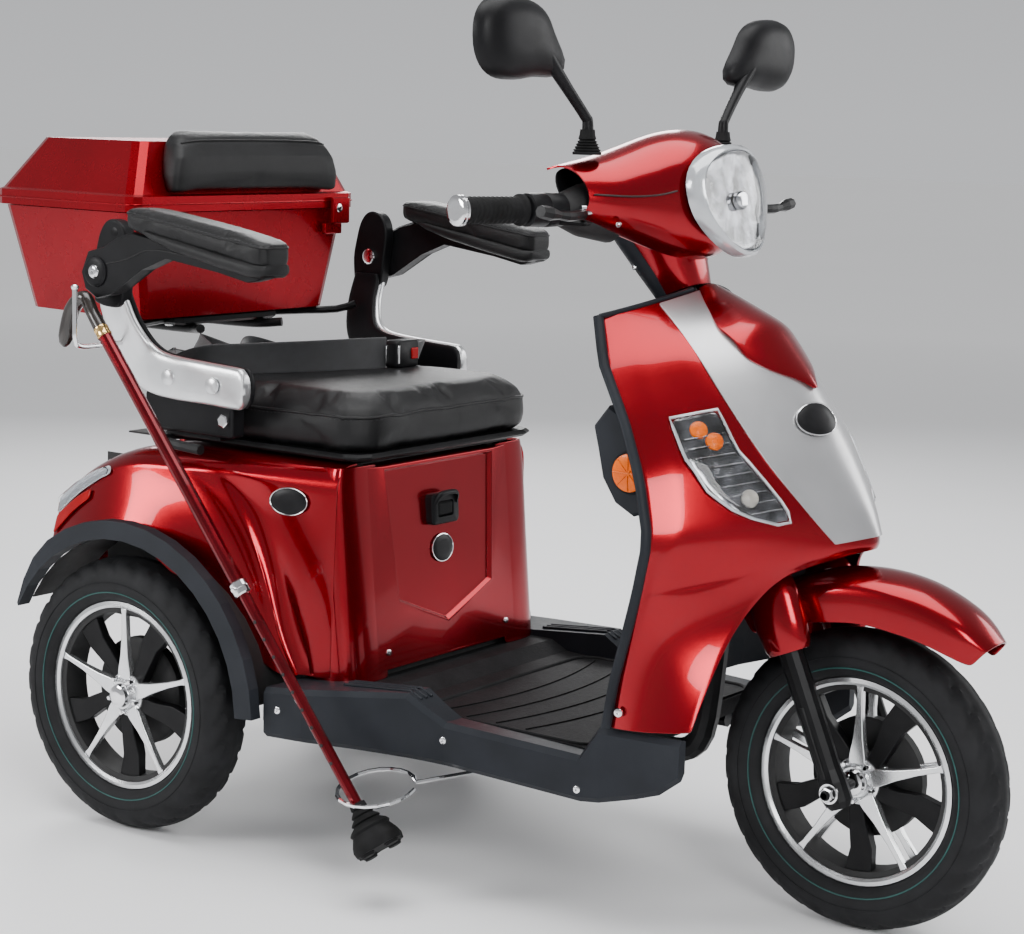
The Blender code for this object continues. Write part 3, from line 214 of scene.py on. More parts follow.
def make_materials():
    gloss = {"Coat Weight": 0.35, "Coat Roughness": 0.03, "Specular IOR Level": 0.2}
    dull = {"Specular IOR Level": 0.14}
    mats = {
        "red_paint": look("candy_red", (0.235, 0.0007, 0.0062), (0.300, 0.0011, 0.0085), 3.0, (0.20, 0.24),
                          ("noise", 1400.0, 0.03), metal=0.85, sockets=gloss),
        "box_red": look("box_red", (0.235, 0.0007, 0.0060), (0.290, 0.0010, 0.0080), 5.0, (0.24, 0.30),
                        ("noise", 500.0, 0.03), metal=0.75, 
                        sockets={"Coat Weight": 0.15, "Coat Roughness": 0.06, "Specular IOR Level": 0.1}),
        "silver_paint": look("silver_paint", (0.44, 0.44, 0.45), (0.50, 0.50, 0.51), 8.0, (0.30, 0.38),
                             ("noise", 1800.0, 0.05), metal=0.75,
                             sockets={"Coat Weight": 0.5, "Coat Roughness": 0.15}),
        # The slate and black plastics, black steel and leather get a paler colour on their sharp edges: a painted edge
        # highlight.
        "slate_plastic": look("slate_plastic", (0.0085, 0.0100, 0.0130), (0.0130, 0.0150, 0.0190), 14.0, (0.42, 0.55),
                              ("cells", 900.0, 0.14), edge_highlight=0.12, sockets=dull),
        "black_plastic": look("black_plastic", (0.0035, 0.0035, 0.0040), (0.0070, 0.0070, 0.0080), 20.0, (0.36, 0.48),
                              ("cells", 1000.0, 0.12), edge_highlight=0.10, sockets=dull),
        "deck_rubber": look("deck_mat", (0.0060, 0.0060, 0.0065), (0.0110, 0.0110, 0.0120), 26.0, (0.60, 0.78),
                            ("cells", 420.0, 0.45, 0.001), sockets=dull),
        "black_steel": look("black_powder_coat", (0.0040, 0.0040, 0.0045), (0.0075, 0.0075, 0.0080), 30.0,
                            (0.30, 0.42),
                            ("noise", 700.0, 0.07), metal=0.2, edge_highlight=0.10, sockets=dull),
        "cast_silver": look("cast_silver", (0.66, 0.67, 0.68), (0.76, 0.77, 0.78), 20.0, (0.26, 0.38),
                            ("noise", 600.0, 0.05), metal=0.9),
        "rim_silver": look("rim_silver", (0.70, 0.71, 0.72), (0.80, 0.81, 0.82), 24.0, (0.20, 0.28),
                           ("noise", 900.0, 0.03), metal=0.9),
        "chrome": look("chrome", (0.78, 0.78, 0.79), (0.86, 0.86, 0.87), 30.0, (0.05, 0.12),
                       ("noise", 260.0, 0.02), metal=1.0),
        "mirror": look("mirror_glass", (0.80, 0.82, 0.84), (0.84, 0.86, 0.88), 4.0, (0.02, 0.04), metal=1.0),
        "rubber": look("rubber", (0.0045, 0.0045, 0.0045), (0.0085, 0.0085, 0.0090), 40.0, (0.62, 0.78),
                       ("noise", 800.0, 0.12), sockets=dull),
        "tyre": look("tyre_rubber", (0.0050, 0.0052, 0.0058), (0.0095, 0.0098, 0.0110), 22.0, (0.58, 0.74),
                     ("noise", 420.0, 0.16), sockets={"Specular IOR Level": 0.22}),
        "teal": look("teal_line", (0.006, 0.055, 0.050), (0.010, 0.080, 0.072), 30.0, (0.5, 0.6),
                     ("noise", 500.0, 0.1)),
        "leather": look("leatherette", (0.0035, 0.0035, 0.0038), (0.0070, 0.0070, 0.0075), 16.0, (0.34, 0.46),
                        ("leather", 520.0, 0.28, 0.0007), edge_highlight=0.05,
                        sockets={"Specular IOR Level": 0.24}),
        "thread": look("stitching", (0.020, 0.020, 0.022), (0.035, 0.035, 0.038), 90.0, (0.6, 0.7),
                       ("noise", 900.0, 0.2)),
        "webbing": look("webbing", (0.0050, 0.0052, 0.0070), (0.0110, 0.0115, 0.0145), 60.0, (0.34, 0.50),
                        ("weave", 260.0, 0.5, 0.0008), sockets={"Sheen Weight": 0.4}),
        "amber": look("amber_lens", (0.70, 0.105, 0.0004), (0.85, 0.150, 0.0008), 30.0, (0.24, 0.32),
                      ("cells", 260.0, 0.4),
                      sockets={"Coat Weight": 0.2, "Specular IOR Level": 0.1}),
        "red_lens": look("red_lens", (0.26, 0.0006, 0.0020), (0.34, 0.0010, 0.0030), 30.0, (0.20, 0.28),
                         ("cells", 240.0, 0.4), sockets={"Coat Weight": 0.25, "Specular IOR Level": 0.1}),
        "clear_lens": look("clear_lens", (0.92, 0.93, 0.95), (0.96, 0.97, 0.98), 30.0, (0.01, 0.03), None,
                           sockets={"Transmission Weight": 1.0, "IOR": 1.20}),
        "reflector": look("reflector_bowl", (0.10, 0.098, 0.095), (0.30, 0.30, 0.31), 40.0, (0.10, 0.20),
                          ("cells", 55.0, 0.22, 0.003), metal=1.0),
        "bulb": look("bulb_glass", (0.85, 0.80, 0.70), (0.95, 0.90, 0.82), 60.0, (0.05, 0.1), None,
                     sockets={"Transmission Weight": 0.6}),
        "cane_red": look("cane_red", (0.100, 0.0006, 0.0040), (0.150, 0.0012, 0.0065), 26.0, (0.16, 0.24),
                         ("noise", 500.0, 0.04), metal=0.75, sockets=gloss),
        "cane_handle": look("cane_handle", (0.0075, 0.0050, 0.0038), (0.0150, 0.0095, 0.0065), 40.0, (0.26, 0.36),
                            ("noise", 180.0, 0.08), sockets={"Coat Weight": 0.6}),
        "gold": look("gold_collar", (0.72, 0.46, 0.16), (0.82, 0.56, 0.24), 60.0, (0.14, 0.22),
                     ("noise", 400.0, 0.05),
                     metal=1.0),
        "dark_badge": look("badge", (0.0040, 0.0040, 0.0045), (0.0070, 0.0070, 0.0080), 60.0, (0.34, 0.42),
                           ("noise", 400.0, 0.03), sockets={"Specular IOR Level": 0.2}),
        "lamp_rim": look("lamp_rim", (0.40, 0.42, 0.44), (0.48, 0.50, 0.52), 20.0, (0.14, 0.2),
                         ("noise", 500.0, 0.03),
                         metal=0.3, sockets={"Coat Weight": 1.0}),
        "well_black": look("well_black", (0.0030, 0.0030, 0.0034), (0.0060, 0.0060, 0.0064), 12.0, (0.6, 0.75),
                           ("noise", 260.0, 0.12)),
        "dial": look("dial_face", (0.03, 0.035, 0.04), (0.05, 0.055, 0.06), 40.0, (0.1, 0.2), ("noise", 400.0, 0.05),
                     sockets={"Coat Weight": 1.0}),
    }
    return mats


# ---------------------------------------------------------------- geometry helpers
def at(point):
    return Vector((point[0] + SHIFT_X, point[1], point[2]))


def finish(bm, name, material, body, smooth=40.0, recalc=True):
    """Turns a mesh in scooter coordinates into a piece that rides on a body."""
    bmesh.ops.remove_doubles(bm, verts=bm.verts, dist=0.00002)
    if recalc:
        bmesh.ops.recalc_face_normals(bm, faces=bm.faces)
    bmesh.ops.translate(bm, verts=bm.verts, vec=(SHIFT_X, 0, 0))
    mesh = bpy.data.meshes.new(name)
    bm.to_mesh(mesh)
    bm.free()
    obj = bpy.data.objects.new(name, mesh)
    bpy.context.scene.collection.objects.link(obj)
    mesh.materials.append(MATS[material])
    mesh.shade_smooth()
    if smooth:
        mesh.set_sharp_from_angle(angle=math.radians(smooth))
    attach(obj, body)
    return obj


def around(count):
    return np.linspace(0, 2 * math.pi, count, endpoint=False)


def bridge(bm, rows, count):
    """Joins each closed loop of vertices to the next with quads."""
    for a, b in zip(rows, rows[1:]):
        for k in range(count):
            bm.faces.new((a[k], a[(k + 1) % count], b[(k + 1) % count], b[k]))


def modifier(obj, kind, **values):
    made = obj.modifiers.new(kind.lower(), kind)
    for key, value in values.items():
        setattr(made, key, value)
    return made


def soften(obj, width=0.002, segments=2, angle=30.0):
    modifier(obj, "BEVEL", width=width, segments=segments, limit_method="ANGLE", angle_limit=math.radians(angle))
    return obj


def subdivided(obj, levels=2):
    modifier(obj, "SUBSURF", levels=levels, render_levels=levels)
    return obj


def shell(name, material, body, grid, toward, thickness=0.0035, levels=2, keep=None, edge=0.0011):
    """A smooth moulded skin over a control grid, thickened towards an inner point."""
    g = np.array(grid, float)
    bm = bmesh.new()
    verts = [[bm.verts.new(p) for p in row] for row in g]
    for i in range(g.shape[0] - 1):
        for j in range(g.shape[1] - 1):
            if keep is None or keep(i, j):
                bm.faces.new((verts[i][j], verts[i + 1][j], verts[i + 1][j + 1], verts[i][j + 1]))
    for v in [v for v in bm.verts if not v.link_faces]:
        bm.verts.remove(v)
    bm.normal_update()
    inward = sum((Vector(toward) - f.calc_center_median()).dot(f.normal) for f in bm.faces)
    if inward > 0:
        bmesh.ops.reverse_faces(bm, faces=bm.faces)
    obj = finish(bm, name, material, body, smooth=50, recalc=False)
    if levels:
        subdivided(obj, levels)
    modifier(obj, "SOLIDIFY", thickness=thickness, offset=-1.0)
    if edge:
        soften(obj, edge, 2, 50)
    return obj


def loft(name, material, body, loops, closed=False, caps=True, smooth=40.0, levels=0):
    """Skin through closed loops of equal length."""
    bm = bmesh.new()
    rows = [[bm.verts.new(p) for p in loop] for loop in loops]
    count = len(rows[0])
    pairs = list(zip(rows, rows[1:])) + ([(rows[-1], rows[0])] if closed else [])
    for a, b in pairs:
        for k in range(count):
            bm.faces.new((a[k], a[(k + 1) % count], b[(k + 1) % count], b[k]))
    if caps and not closed:
        bm.faces.new(rows[0])
        bm.faces.new(rows[-1])
    obj = finish(bm, name, material, body, smooth)
    return subdivided(obj, levels) if levels else obj


def frame_of(direction):
    z = Vector(direction).normalized()
    x = z.orthogonal().normalized()
    return x, z.cross(x), z


def turned(name, material, body, start, end, profile, sides=24, smooth=40.0, ripple=0.0, lobes=0):
    """A turned piece: profile is (fraction along the axis, radius); ripple lobes wave the radius."""
    start, end = Vector(start), Vector(end)
    x, y, z = frame_of(end - start)
    loops = []
    for f, r in profile:
        loop = []
        for k in range(sides):
            a = 2 * math.pi * k / sides
            rr = r * (1 + ripple * math.cos(lobes * a))
            loop.append(start.lerp(end, f) + x * (rr * math.cos(a)) + y * (rr * math.sin(a)))
        loops.append(loop)
    return loft(name, material, body, loops, smooth=smooth)


def catmull(points, steps=6):
    pts = [np.array(p, float) for p in points]
    ext = [2 * pts[0] - pts[1]] + pts + [2 * pts[-1] - pts[-2]]
    out = []
    for i in range(1, len(ext) - 2):
        a, b, c, d = ext[i - 1:i + 3]
        for k in range(steps):
            t = k / steps
            out.append(0.5 * (2 * b + (c - a) * t + (2 * a - 5 * b + 4 * c - d) * t ** 2
                              + (3 * b - a - 3 * c + d) * t ** 3))
    out.append(pts[-1])
    return [Vector(p) for p in out]


def swept(name, material, body, path, radii, sides=12, flat=1.0, closed=False, smooth=60.0):
    """A tube along a path; flat squashes it across the carried side vector."""
    path = [Vector(p) for p in path]
    if not hasattr(radii, "__len__"):
        radii = [radii] * len(path)
    side = None
    loops = []
    for i, p in enumerate(path):
        after = path[(i + 1) % len(path)] if closed else path[min(i + 1, len(path) - 1)]
        before = path[i - 1] if closed else path[max(i - 1, 0)]
        ahead = (after - before).normalized()
        side = ahead.orthogonal() if side is None else side - ahead * side.dot(ahead)
        side.normalize()
        other = ahead.cross(side)
        loops.append([p + side * (radii[i] * math.cos(a)) + other * (radii[i] * flat * math.sin(a))
                      for a in around(sides)])
    return loft(name, material, body, loops, closed=closed, smooth=smooth)


def rounded(name, material, body, low, high, bevel=0.003, segments=3):
    """A block with rounded edges."""
    (x0, y0, z0), (x1, y1, z1) = low, high
    loops = [[(x0, y0, z), (x1, y0, z), (x1, y1, z), (x0, y1, z)] for z in (z0, z1)]
    return soften(loft(name, material, body, loops), bevel, segments)


def plate(name, material, body, outline, place, thickness, bevel=0.001):
    """A flat shape: outline is (across, up) pairs, place turns (across, up, out) into a point."""
    loops = [[place(u, v, w) for u, v in outline] for w in (0.0, thickness)]
    return soften(loft(name, material, body, loops), bevel, 2)


def screw(name, body, centre, outward, radius=0.006, material="chrome", height=0.003):
    """Domed screw head with a cross-shaped drive, half sunk in what it holds."""
    x, y, z = frame_of(outward)
    centre = Vector(centre)
    bm = bmesh.new()
    rings = []
    sides = 24
    for r, h in ((1.0, -0.4), (1.0, 0.25), (0.86, 0.72), (0.62, 0.92), (0.34, 0.96)):
        rings.append([bm.verts.new(centre + x * (radius * r * math.cos(a)) + y * (radius * r * math.sin(a))
                                   + z * (height * h)) for a in around(sides)])
    inner = [bm.verts.new(centre + x * (radius * q * math.cos(a)) + y * (radius * q * math.sin(a)) + z * (height * 0.2))
             for q, a in ((0.16 if k % 6 == 3 else 0.32, 2 * math.pi * k / sides) for k in range(sides))]
    rings.append(inner)
    bridge(bm, rings, sides)
    bm.faces.new(rings[0])
    bm.faces.new(rings[-1])
    return finish(bm, name, material, body, 35)


def table(x, rows):
    keys, values = zip(*rows)
    return float(np.interp(x, keys, values))


def blend_table(v, rows):
    keys = [k for k, _ in rows]
    values = np.array([p for _, p in rows])
    return np.array([np.interp(v, keys, values[:, i]) for i in range(values.shape[1])])


def fork(s, side=0.0):
    return Vector((WHEELBASE - math.sin(RAKE) * s, side, TYRE_R + math.cos(RAKE) * s))


def steer(s, side=0.0):
    return fork(s, side) - Vector((math.cos(RAKE), 0, math.sin(RAKE))) * FORK_AHEAD


def rounded_rect(cx, cy, hx, hy, r, steps=4):
    points = []
    for sx, sy, start in ((1, 1, 0), (-1, 1, 90), (-1, -1, 180), (1, -1, 270)):
        for k in range(steps + 1):
            a = math.radians(start + 90 * k / steps)
            points.append((cx + sx * (hx - r) + r * math.cos(a), cy + sy * (hy - r) + r * math.sin(a)))
    return points


def dress():
    """Gives every solid of the frame that stays visible its better finish."""
    finishes = {
        "battery_pack": "black_plastic", "motor_controller": "cast_silver", "main_frame": "black_steel",
        "rear_axle_housing": "black_steel", "floor_deck": "deck_rubber", "side_sill_left": "slate_plastic",
        "side_sill_right": "slate_plastic", "inner_shield": "slate_plastic", "glove_box": "slate_plastic",
        "fork_crown": "black_steel", "fork_lowers": "black_steel", "handlebar": "black_steel",
        "key_switch": "black_plastic", "brake_lever_left": "black_steel", "brake_lever_right": "black_steel",
        "wheel_arch_flare_left": "slate_plastic", "wheel_arch_flare_right": "slate_plastic",
        "rear_panel": "red_paint", "charge_flap": "rubber", "seat_pan": "black_steel", "seat_lever": "black_steel",
        "armrest_arm_left": "black_plastic", "armrest_arm_right": "black_plastic", "top_box_tub": "box_red",
        "top_box_lid": "box_red", "top_box_carrier": "black_steel", "box_latch": "box_red",
        "cane_shaft_upper": "cane_red", "cane_shaft_lower": "cane_red", "cane_ring": "chrome",
    }
    for name, finish_name in finishes.items():
        obj = NODES[name]
        for slot in obj.material_slots:
            slot.material = MATS[finish_name]
        if not obj.material_slots:
            obj.data.materials.append(MATS[finish_name])


# ---------------------------------------------------------------- wheels
def tyre(name, body, centre, node_name):
    """Rounded tyre with curved shoulder blocks and a thin line on each sidewall."""
    half = [(RIM_R + 0.0003, 0.026), (RIM_R + 0.003, 0.0315), (0.154, 0.0362), (0.163, 0.0402), (0.172, TYRE_HALF_W),
            (0.181, TYRE_HALF_W), (0.189, 0.0405), (0.195, 0.0368), (0.1985, 0.0345), (0.2030, 0.0290),
            (0.2062, 0.0235),
            (0.2085, 0.0175), (0.2100, 0.0110), (0.2108, 0.0050)]
    section = half + [(TYRE_R, 0.0)] + [(r, -y) for r, y in reversed(half)]
    steps, blocks, depth = 240, 30, 0.0034
    bm = bmesh.new()
    rows = []
    for k in range(steps):
        a = 2 * math.pi * k / steps
        row = []
        for r, y in section:
            side = abs(y)
            cut = 0.0
            if 0.014 < side < 0.0410 and r > 0.187:
                phase = (k / steps * blocks + math.copysign(0.25, y) + 0.9 * (side / 0.04) ** 1.6) % 1.0
                cut = depth if phase < 0.26 else 0.0
            elif 0.006 <= side <= 0.014:
                cut = depth * 0.55
            rr = r - cut
            row.append(bm.verts.new((centre[0] + rr * math.cos(a), centre[1] + y, centre[2] + rr * math.sin(a))))
        rows.append(row)
    for a, b in zip(rows, rows[1:] + rows[:1]):
        for j in range(len(section) - 1):
            bm.faces.new((a[j], b[j], b[j + 1], a[j + 1]))
        bm.faces.new((a[-1], b[-1], b[0], a[0]))
    piece = finish(bm, name, "tyre", body, 38)
    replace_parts(piece, node_name)
    for side in (-1, 1):
        for r, y, tube in ((0.1605, 0.0394, 0.0010), (0.176, 0.0424, 0.0006)):
            ring(f"{name}_line_{'l' if side > 0 else 'r'}_{int(r * 1000)}", "teal" if r < 0.17 else "tyre", body,
                 centre,
                 r, side * y, tube)
    return piece


def ring(name, material, body, centre, radius, y, tube, sides=6, steps=96, flat=1.0):
    path = [(centre[0] + radius * math.cos(a), centre[1] + y, centre[2] + radius * math.sin(a))
            for a in around(steps)]
    return swept(name, material, body, path, tube, sides, flat, closed=True)


def revolve(name, material, body, centre, profile, steps=72, smooth=35.0):
    """A closed (radius, across) outline turned about a wheel's axle."""
    loops = []
    for k in range(steps):
        a = 2 * math.pi * k / steps
        loops.append([(centre[0] + r * math.cos(a), centre[1] + y, centre[2] + r * math.sin(a)) for r, y in profile])
    return loft(name, material, body, loops, closed=True, smooth=smooth)


def spokes(name, material, body, centre, stations, start, face):
    """Five arms: stations are (radius, half width, half depth, twist in degrees, offset across)."""
    bm = bmesh.new()
    for k in range(5):
        turn = math.radians(start + 72 * k)
        rows = []
        for r, w, d, twist, off in stations:
            a = turn + math.radians(twist)
            out = Vector((math.cos(a), 0, math.sin(a)))
            along = Vector((-math.sin(a), 0, math.cos(a)))
            mid = Vector(centre) + out * r + Vector((0, off * face, 0))
            lay = Vector((0, 1, 0))
            rows.append([bm.verts.new(mid + along * (w * c) + lay * (d * s)) for c, s in
                         ((-1, -1), (1, -1), (1, 0.55), (0.6, 1.0), (-0.6, 1.0), (-1, 0.55))])
        bridge(bm, rows, 6)
        bm.faces.new(rows[0])
        bm.faces.new(rows[-1])
    return soften(finish(bm, name, material, body, 35), 0.0012, 2)


def wheel(tag, body, centre, node_rim, node_tyre, face):
    tyre(f"{tag}_tyre_tread", body, centre, node_tyre)
    band = revolve(f"{tag}_rim_band", "rim_silver", body, centre,
                   [(RIM_R - 0.0003, 0.0285), (RIM_R - 0.0003, -0.0285), (RIM_R - 0.006, -0.0300),
                    (RIM_R - 0.010, -0.0270), (RIM_R - 0.0105, 0.0), (RIM_R - 0.010, 0.0270),
                    (RIM_R - 0.006, 0.0300)])
    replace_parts(band, node_rim)
    revolve(f"{tag}_rim_barrel", "well_black", body, centre,
            [(RIM_R - 0.0107, 0.0235), (RIM_R - 0.0107, -0.0235), (RIM_R - 0.0180, -0.0215), (RIM_R - 0.0200, 0.0),
             (RIM_R - 0.0180, 0.0215)])
    silver = [(0.024, 0.0125, 0.010, 0, 0.014), (0.036, 0.0120, 0.009, 0, 0.0155), (0.060, 0.0078, 0.0075, 0, 0.0168),
              (0.095, 0.0048, 0.006, 0, 0.0180), (0.125, 0.0042, 0.006, 0, 0.0188),
              (RIM_R - 0.0108, 0.0058, 0.006, 0, 0.0190)]
    spokes(f"{tag}_spokes_silver", "rim_silver", body, centre, silver, 90, face)
    dark = [(0.030, 0.0110, 0.013, -4, 0.004), (0.060, 0.0125, 0.012, 2, 0.006), (0.095, 0.0165, 0.010, 6, 0.008),
            (RIM_R - 0.0110, 0.0215, 0.009, 3, 0.010)]
    spokes(f"{tag}_spokes_black", "black_steel", body, centre, dark, 126, face)
    x, y, z = centre
    turned(f"{tag}_hub", "rim_silver", body, (x, y - face * 0.024, z), (x, y + face * 0.030, z),
           [(0, 0.033), (0.60, 0.036), (0.80, 0.033), (0.84, 0.024), (1.0, 0.021)], 40)
    turned(f"{tag}_hub_cap", "chrome", body, (x, y + face * 0.0295, z), (x, y + face * 0.041, z),
           [(0, 0.017), (0.25, 0.0185), (0.7, 0.0165), (0.95, 0.010), (1.0, 0.006)], 32)
    for k in range(5):
        a = math.radians(126 + 72 * k)
        turned(f"{tag}_hub_bolt_{k}", "chrome", body,
               (x + 0.0275 * math.cos(a), y + face * 0.020, z + 0.0275 * math.sin(a)),
               (x + 0.0275 * math.cos(a), y + face * 0.031, z + 0.0275 * math.sin(a)),
               [(0, 0.0036), (0.9, 0.0036), (1, 0.003)], 6)
    turned(f"{tag}_brake_drum", "well_black", body, (x, y - face * 0.028, z), (x, y - face * 0.006, z),
           [(0, 0.080), (0.1, 0.084), (0.8, 0.084), (1, 0.078)], 40)
    a = math.radians(60)
    base = Vector((x + (RIM_R - 0.019) * math.cos(a), y, z + (RIM_R - 0.019) * math.sin(a)))
    tip = base + Vector((-0.026 * math.cos(a), face * 0.012, -0.026 * math.sin(a)))
    turned(f"{tag}_valve", "rubber", body, base, tip, [(0, 0.0040), (0.7, 0.0034), (0.72, 0.0044), (1, 0.0044)], 12)


def build_wheels():
    wheel("rear_left", "rear_wheel_left", (0, REAR_TRACK_HALF, TYRE_R), "rear_rim_left", "rear_tyre_left", 1)
    wheel("rear_right", "rear_wheel_right", (0, -REAR_TRACK_HALF, TYRE_R), "rear_rim_right", "rear_tyre_right", -1)
    wheel("front", "front_wheel", (WHEELBASE, 0, TYRE_R), "front_rim", "front_tyre", -1)
    x, y, z = WHEELBASE, 0.0, TYRE_R
    silver = [(0.024, 0.0125, 0.010, 0, 0.014), (0.060, 0.0078, 0.0075, 0, 0.0168), (0.095, 0.0048, 0.006, 0, 0.0180),
              (RIM_R - 0.0108, 0.0058, 0.006, 0, 0.0190)]
    spokes("front_spokes_left", "rim_silver", "front_wheel", (x, y, z), silver, 90, 1)


# ---------------------------------------------------------------- front fender and fork
def fender_section(angle):
    half = table(angle, [(49, 0.036), (53, 0.047), (60, 0.054), (75, 0.060), (100, 0.062), (128, 0.062)])
    crown = table(angle, [(49, 0.290), (58, 0.297), (75, 0.298), (128, 0.290)])
    skirt = table(angle, [(49, 0.250), (58, 0.242), (75, 0.231), (100, 0.226), (128, 0.240)])
    return half, crown, skirt


def build_fender():
    grid = []
    for angle in np.linspace(128, 49, 17):
        half, crown, skirt = fender_section(angle)
        a = math.radians(angle)
        row = []
        for f, drop in ((-1, 1.0), (-1.0, 0.72), (-0.985, 0.42), (-0.90, 0.22), (-0.62, 0.07), (-0.22, 0.0),
                        (0, -0.012)):
            row.append((f * half, crown - (crown - skirt) * drop))
        row += [(-y, r) for y, r in reversed(row[:-1])]
        grid.append([(WHEELBASE + r * math.cos(a), y, TYRE_R + r * math.sin(a)) for y, r in row])
    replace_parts(shell("front_fender_skin", "red_paint", "suspension", grid, (WHEELBASE, 0, TYRE_R), 0.003),
                "front_fender")
    for side, sign in SIDES:
        loops = []
        along = (fork(1) - fork(0)).normalized()
        ahead = Vector((0, 1, 0)).cross(along)
        for s, r, out in ((0.196, 0.0255, 0.003), (0.205, 0.0290, 0.003), (0.235, 0.0330, 0.002),
                          (0.270, 0.0330, 0.0),
                          (0.294, 0.0285, -0.002), (0.307, 0.0220, -0.004), (0.312, 0.0190, -0.005)):
            mid = fork(s, sign * (0.083 + out))
            loops.append([mid + ahead * (r * 1.18 * math.cos(a)) + Vector((0, sign * r * 0.82 * math.sin(a), 0))
                          for a in around(20)])
        bm = bmesh.new()
        rows = [[bm.verts.new(p) for p in loop] for loop in loops]
        bridge(bm, rows, 20)
        skin = finish(bm, f"fork_shroud_{side}", "red_paint", "suspension", 40)
        modifier(skin, "SOLIDIFY", thickness=0.0025, offset=-1.0)
        soften(skin, 0.001, 2, 50)
        turned(f"fork_chrome_{side}", "chrome", "suspension", fork(0.312, sign * 0.083), fork(0.324, sign * 0.083),
               [(0, 0.0170), (0.3, 0.0185), (0.8, 0.0185), (1, 0.0170)], 24)
        swept(f"fork_guard_{side}", "black_steel", "suspension",
              catmull([fork(0.12, sign * 0.0995), fork(0.06, sign * 0.1005), fork(0.02, sign * 0.1005)], 4), 0.004, 8,
              0.5)
        axle = Vector((WHEELBASE, 0, TYRE_R))
        turned(f"axle_washer_{side}", "chrome", "suspension", axle + Vector((0, sign * 0.1000, 0)),
               axle + Vector((0, sign * 0.1035, 0)), [(0, 0.0140), (1, 0.0140)], 24)
        turned(f"axle_nut_{side}", "chrome", "suspension", axle + Vector((0, sign * 0.1035, 0)),
               axle + Vector((0, sign * 0.1125, 0)), [(0, 0.0105), (0.8, 0.0105), (1, 0.0090)], 6, smooth=20)
        turned(f"axle_end_{side}", "chrome", "suspension", axle + Vector((0, sign * 0.1125, 0)),
               axle + Vector((0, sign * 0.1160, 0)), [(0, 0.0055), (1, 0.0045)], 16)


# ---------------------------------------------------------------- leg shield
CENTRE_LINE = [(0.0, (0.806, 0.872)), (0.2, (0.912, 0.826)), (0.4, (0.972, 0.752)), (0.6, (1.027, 0.672)),
               (0.8, (1.070, 0.598)), (0.96, (1.092, 0.542)), (1.0, (1.086, 0.532))]
EDGE_LINE = [(0.0, (0.742, 0.172, 0.833)), (0.2, (0.776, 0.208, 0.775)), (0.4, (0.828, 0.233, 0.705)),
             (0.6, (0.868, 0.254, 0.635)), (0.8, (0.892, 0.266, 0.555)), (1.0, (0.880, 0.270, 0.480)),
             (1.25, (0.866, 0.271, 0.420)), (1.5, (0.850, 0.270, 0.360)), (1.75, (0.838, 0.268, 0.293))]
ARCH_LINE = [(1.0, (1.011, 0.108, 0.510)), (1.25, (0.974, 0.160, 0.455)), (1.5, (0.958, 0.212, 0.375)),
             (1.75, (0.948, 0.245, 0.300))]
ARCH_T = 0.4


def shield_point(t, v, lift=0.0):
    """A point of the leg shield: t from the right edge (-1) to the left (1), v from top to bottom."""
    edge = blend_table(v, EDGE_LINE)
    side = 1.0 if t >= 0 else -1.0
    a = abs(t)
    if v <= 1.0:
        centre = blend_table(v, CENTRE_LINE)
        bulge = 1.0 - a ** (2.1 - 0.9 * v)
        point = np.array((edge[0] + (centre[0] - edge[0]) * bulge, t * edge[1],
                          edge[2] + (centre[1] - edge[2]) * (1.0 - a ** 1.3)))
    else:
        arch = blend_table(v, ARCH_LINE)
        f = (a - ARCH_T) / (1.0 - ARCH_T)
        point = arch + (edge - arch) * f
        point[1] = side * (point[1] + 0.012 * math.sin(math.pi * f))
    return point + shield_normal(t, min(v, 0.995)) * lift if lift else point


def shield_normal(t, v):
    step = 0.01
    across = shield_point(t + step, v) - shield_point(t - step, v)
    down = shield_point(t, min(v + step, 0.999)) - shield_point(t, v - step)
    n = np.cross(down, across)
    n /= np.linalg.norm(n)
    return n if n[0] > 0 else -n


def panel_width(v):
    return table(v, [(0.0, 0.60), (0.2, 0.62), (0.4, 0.58), (0.6, 0.50), (0.8, 0.36), (0.96, 0.22)])


def crease_at(v):
    """Where, in t, the flank folds back towards the shield's edge."""
    return table(v, [(0.0, 0.86), (0.35, 0.885), (0.73, 0.87), (0.95, 0.95), (1.75, 0.965)])


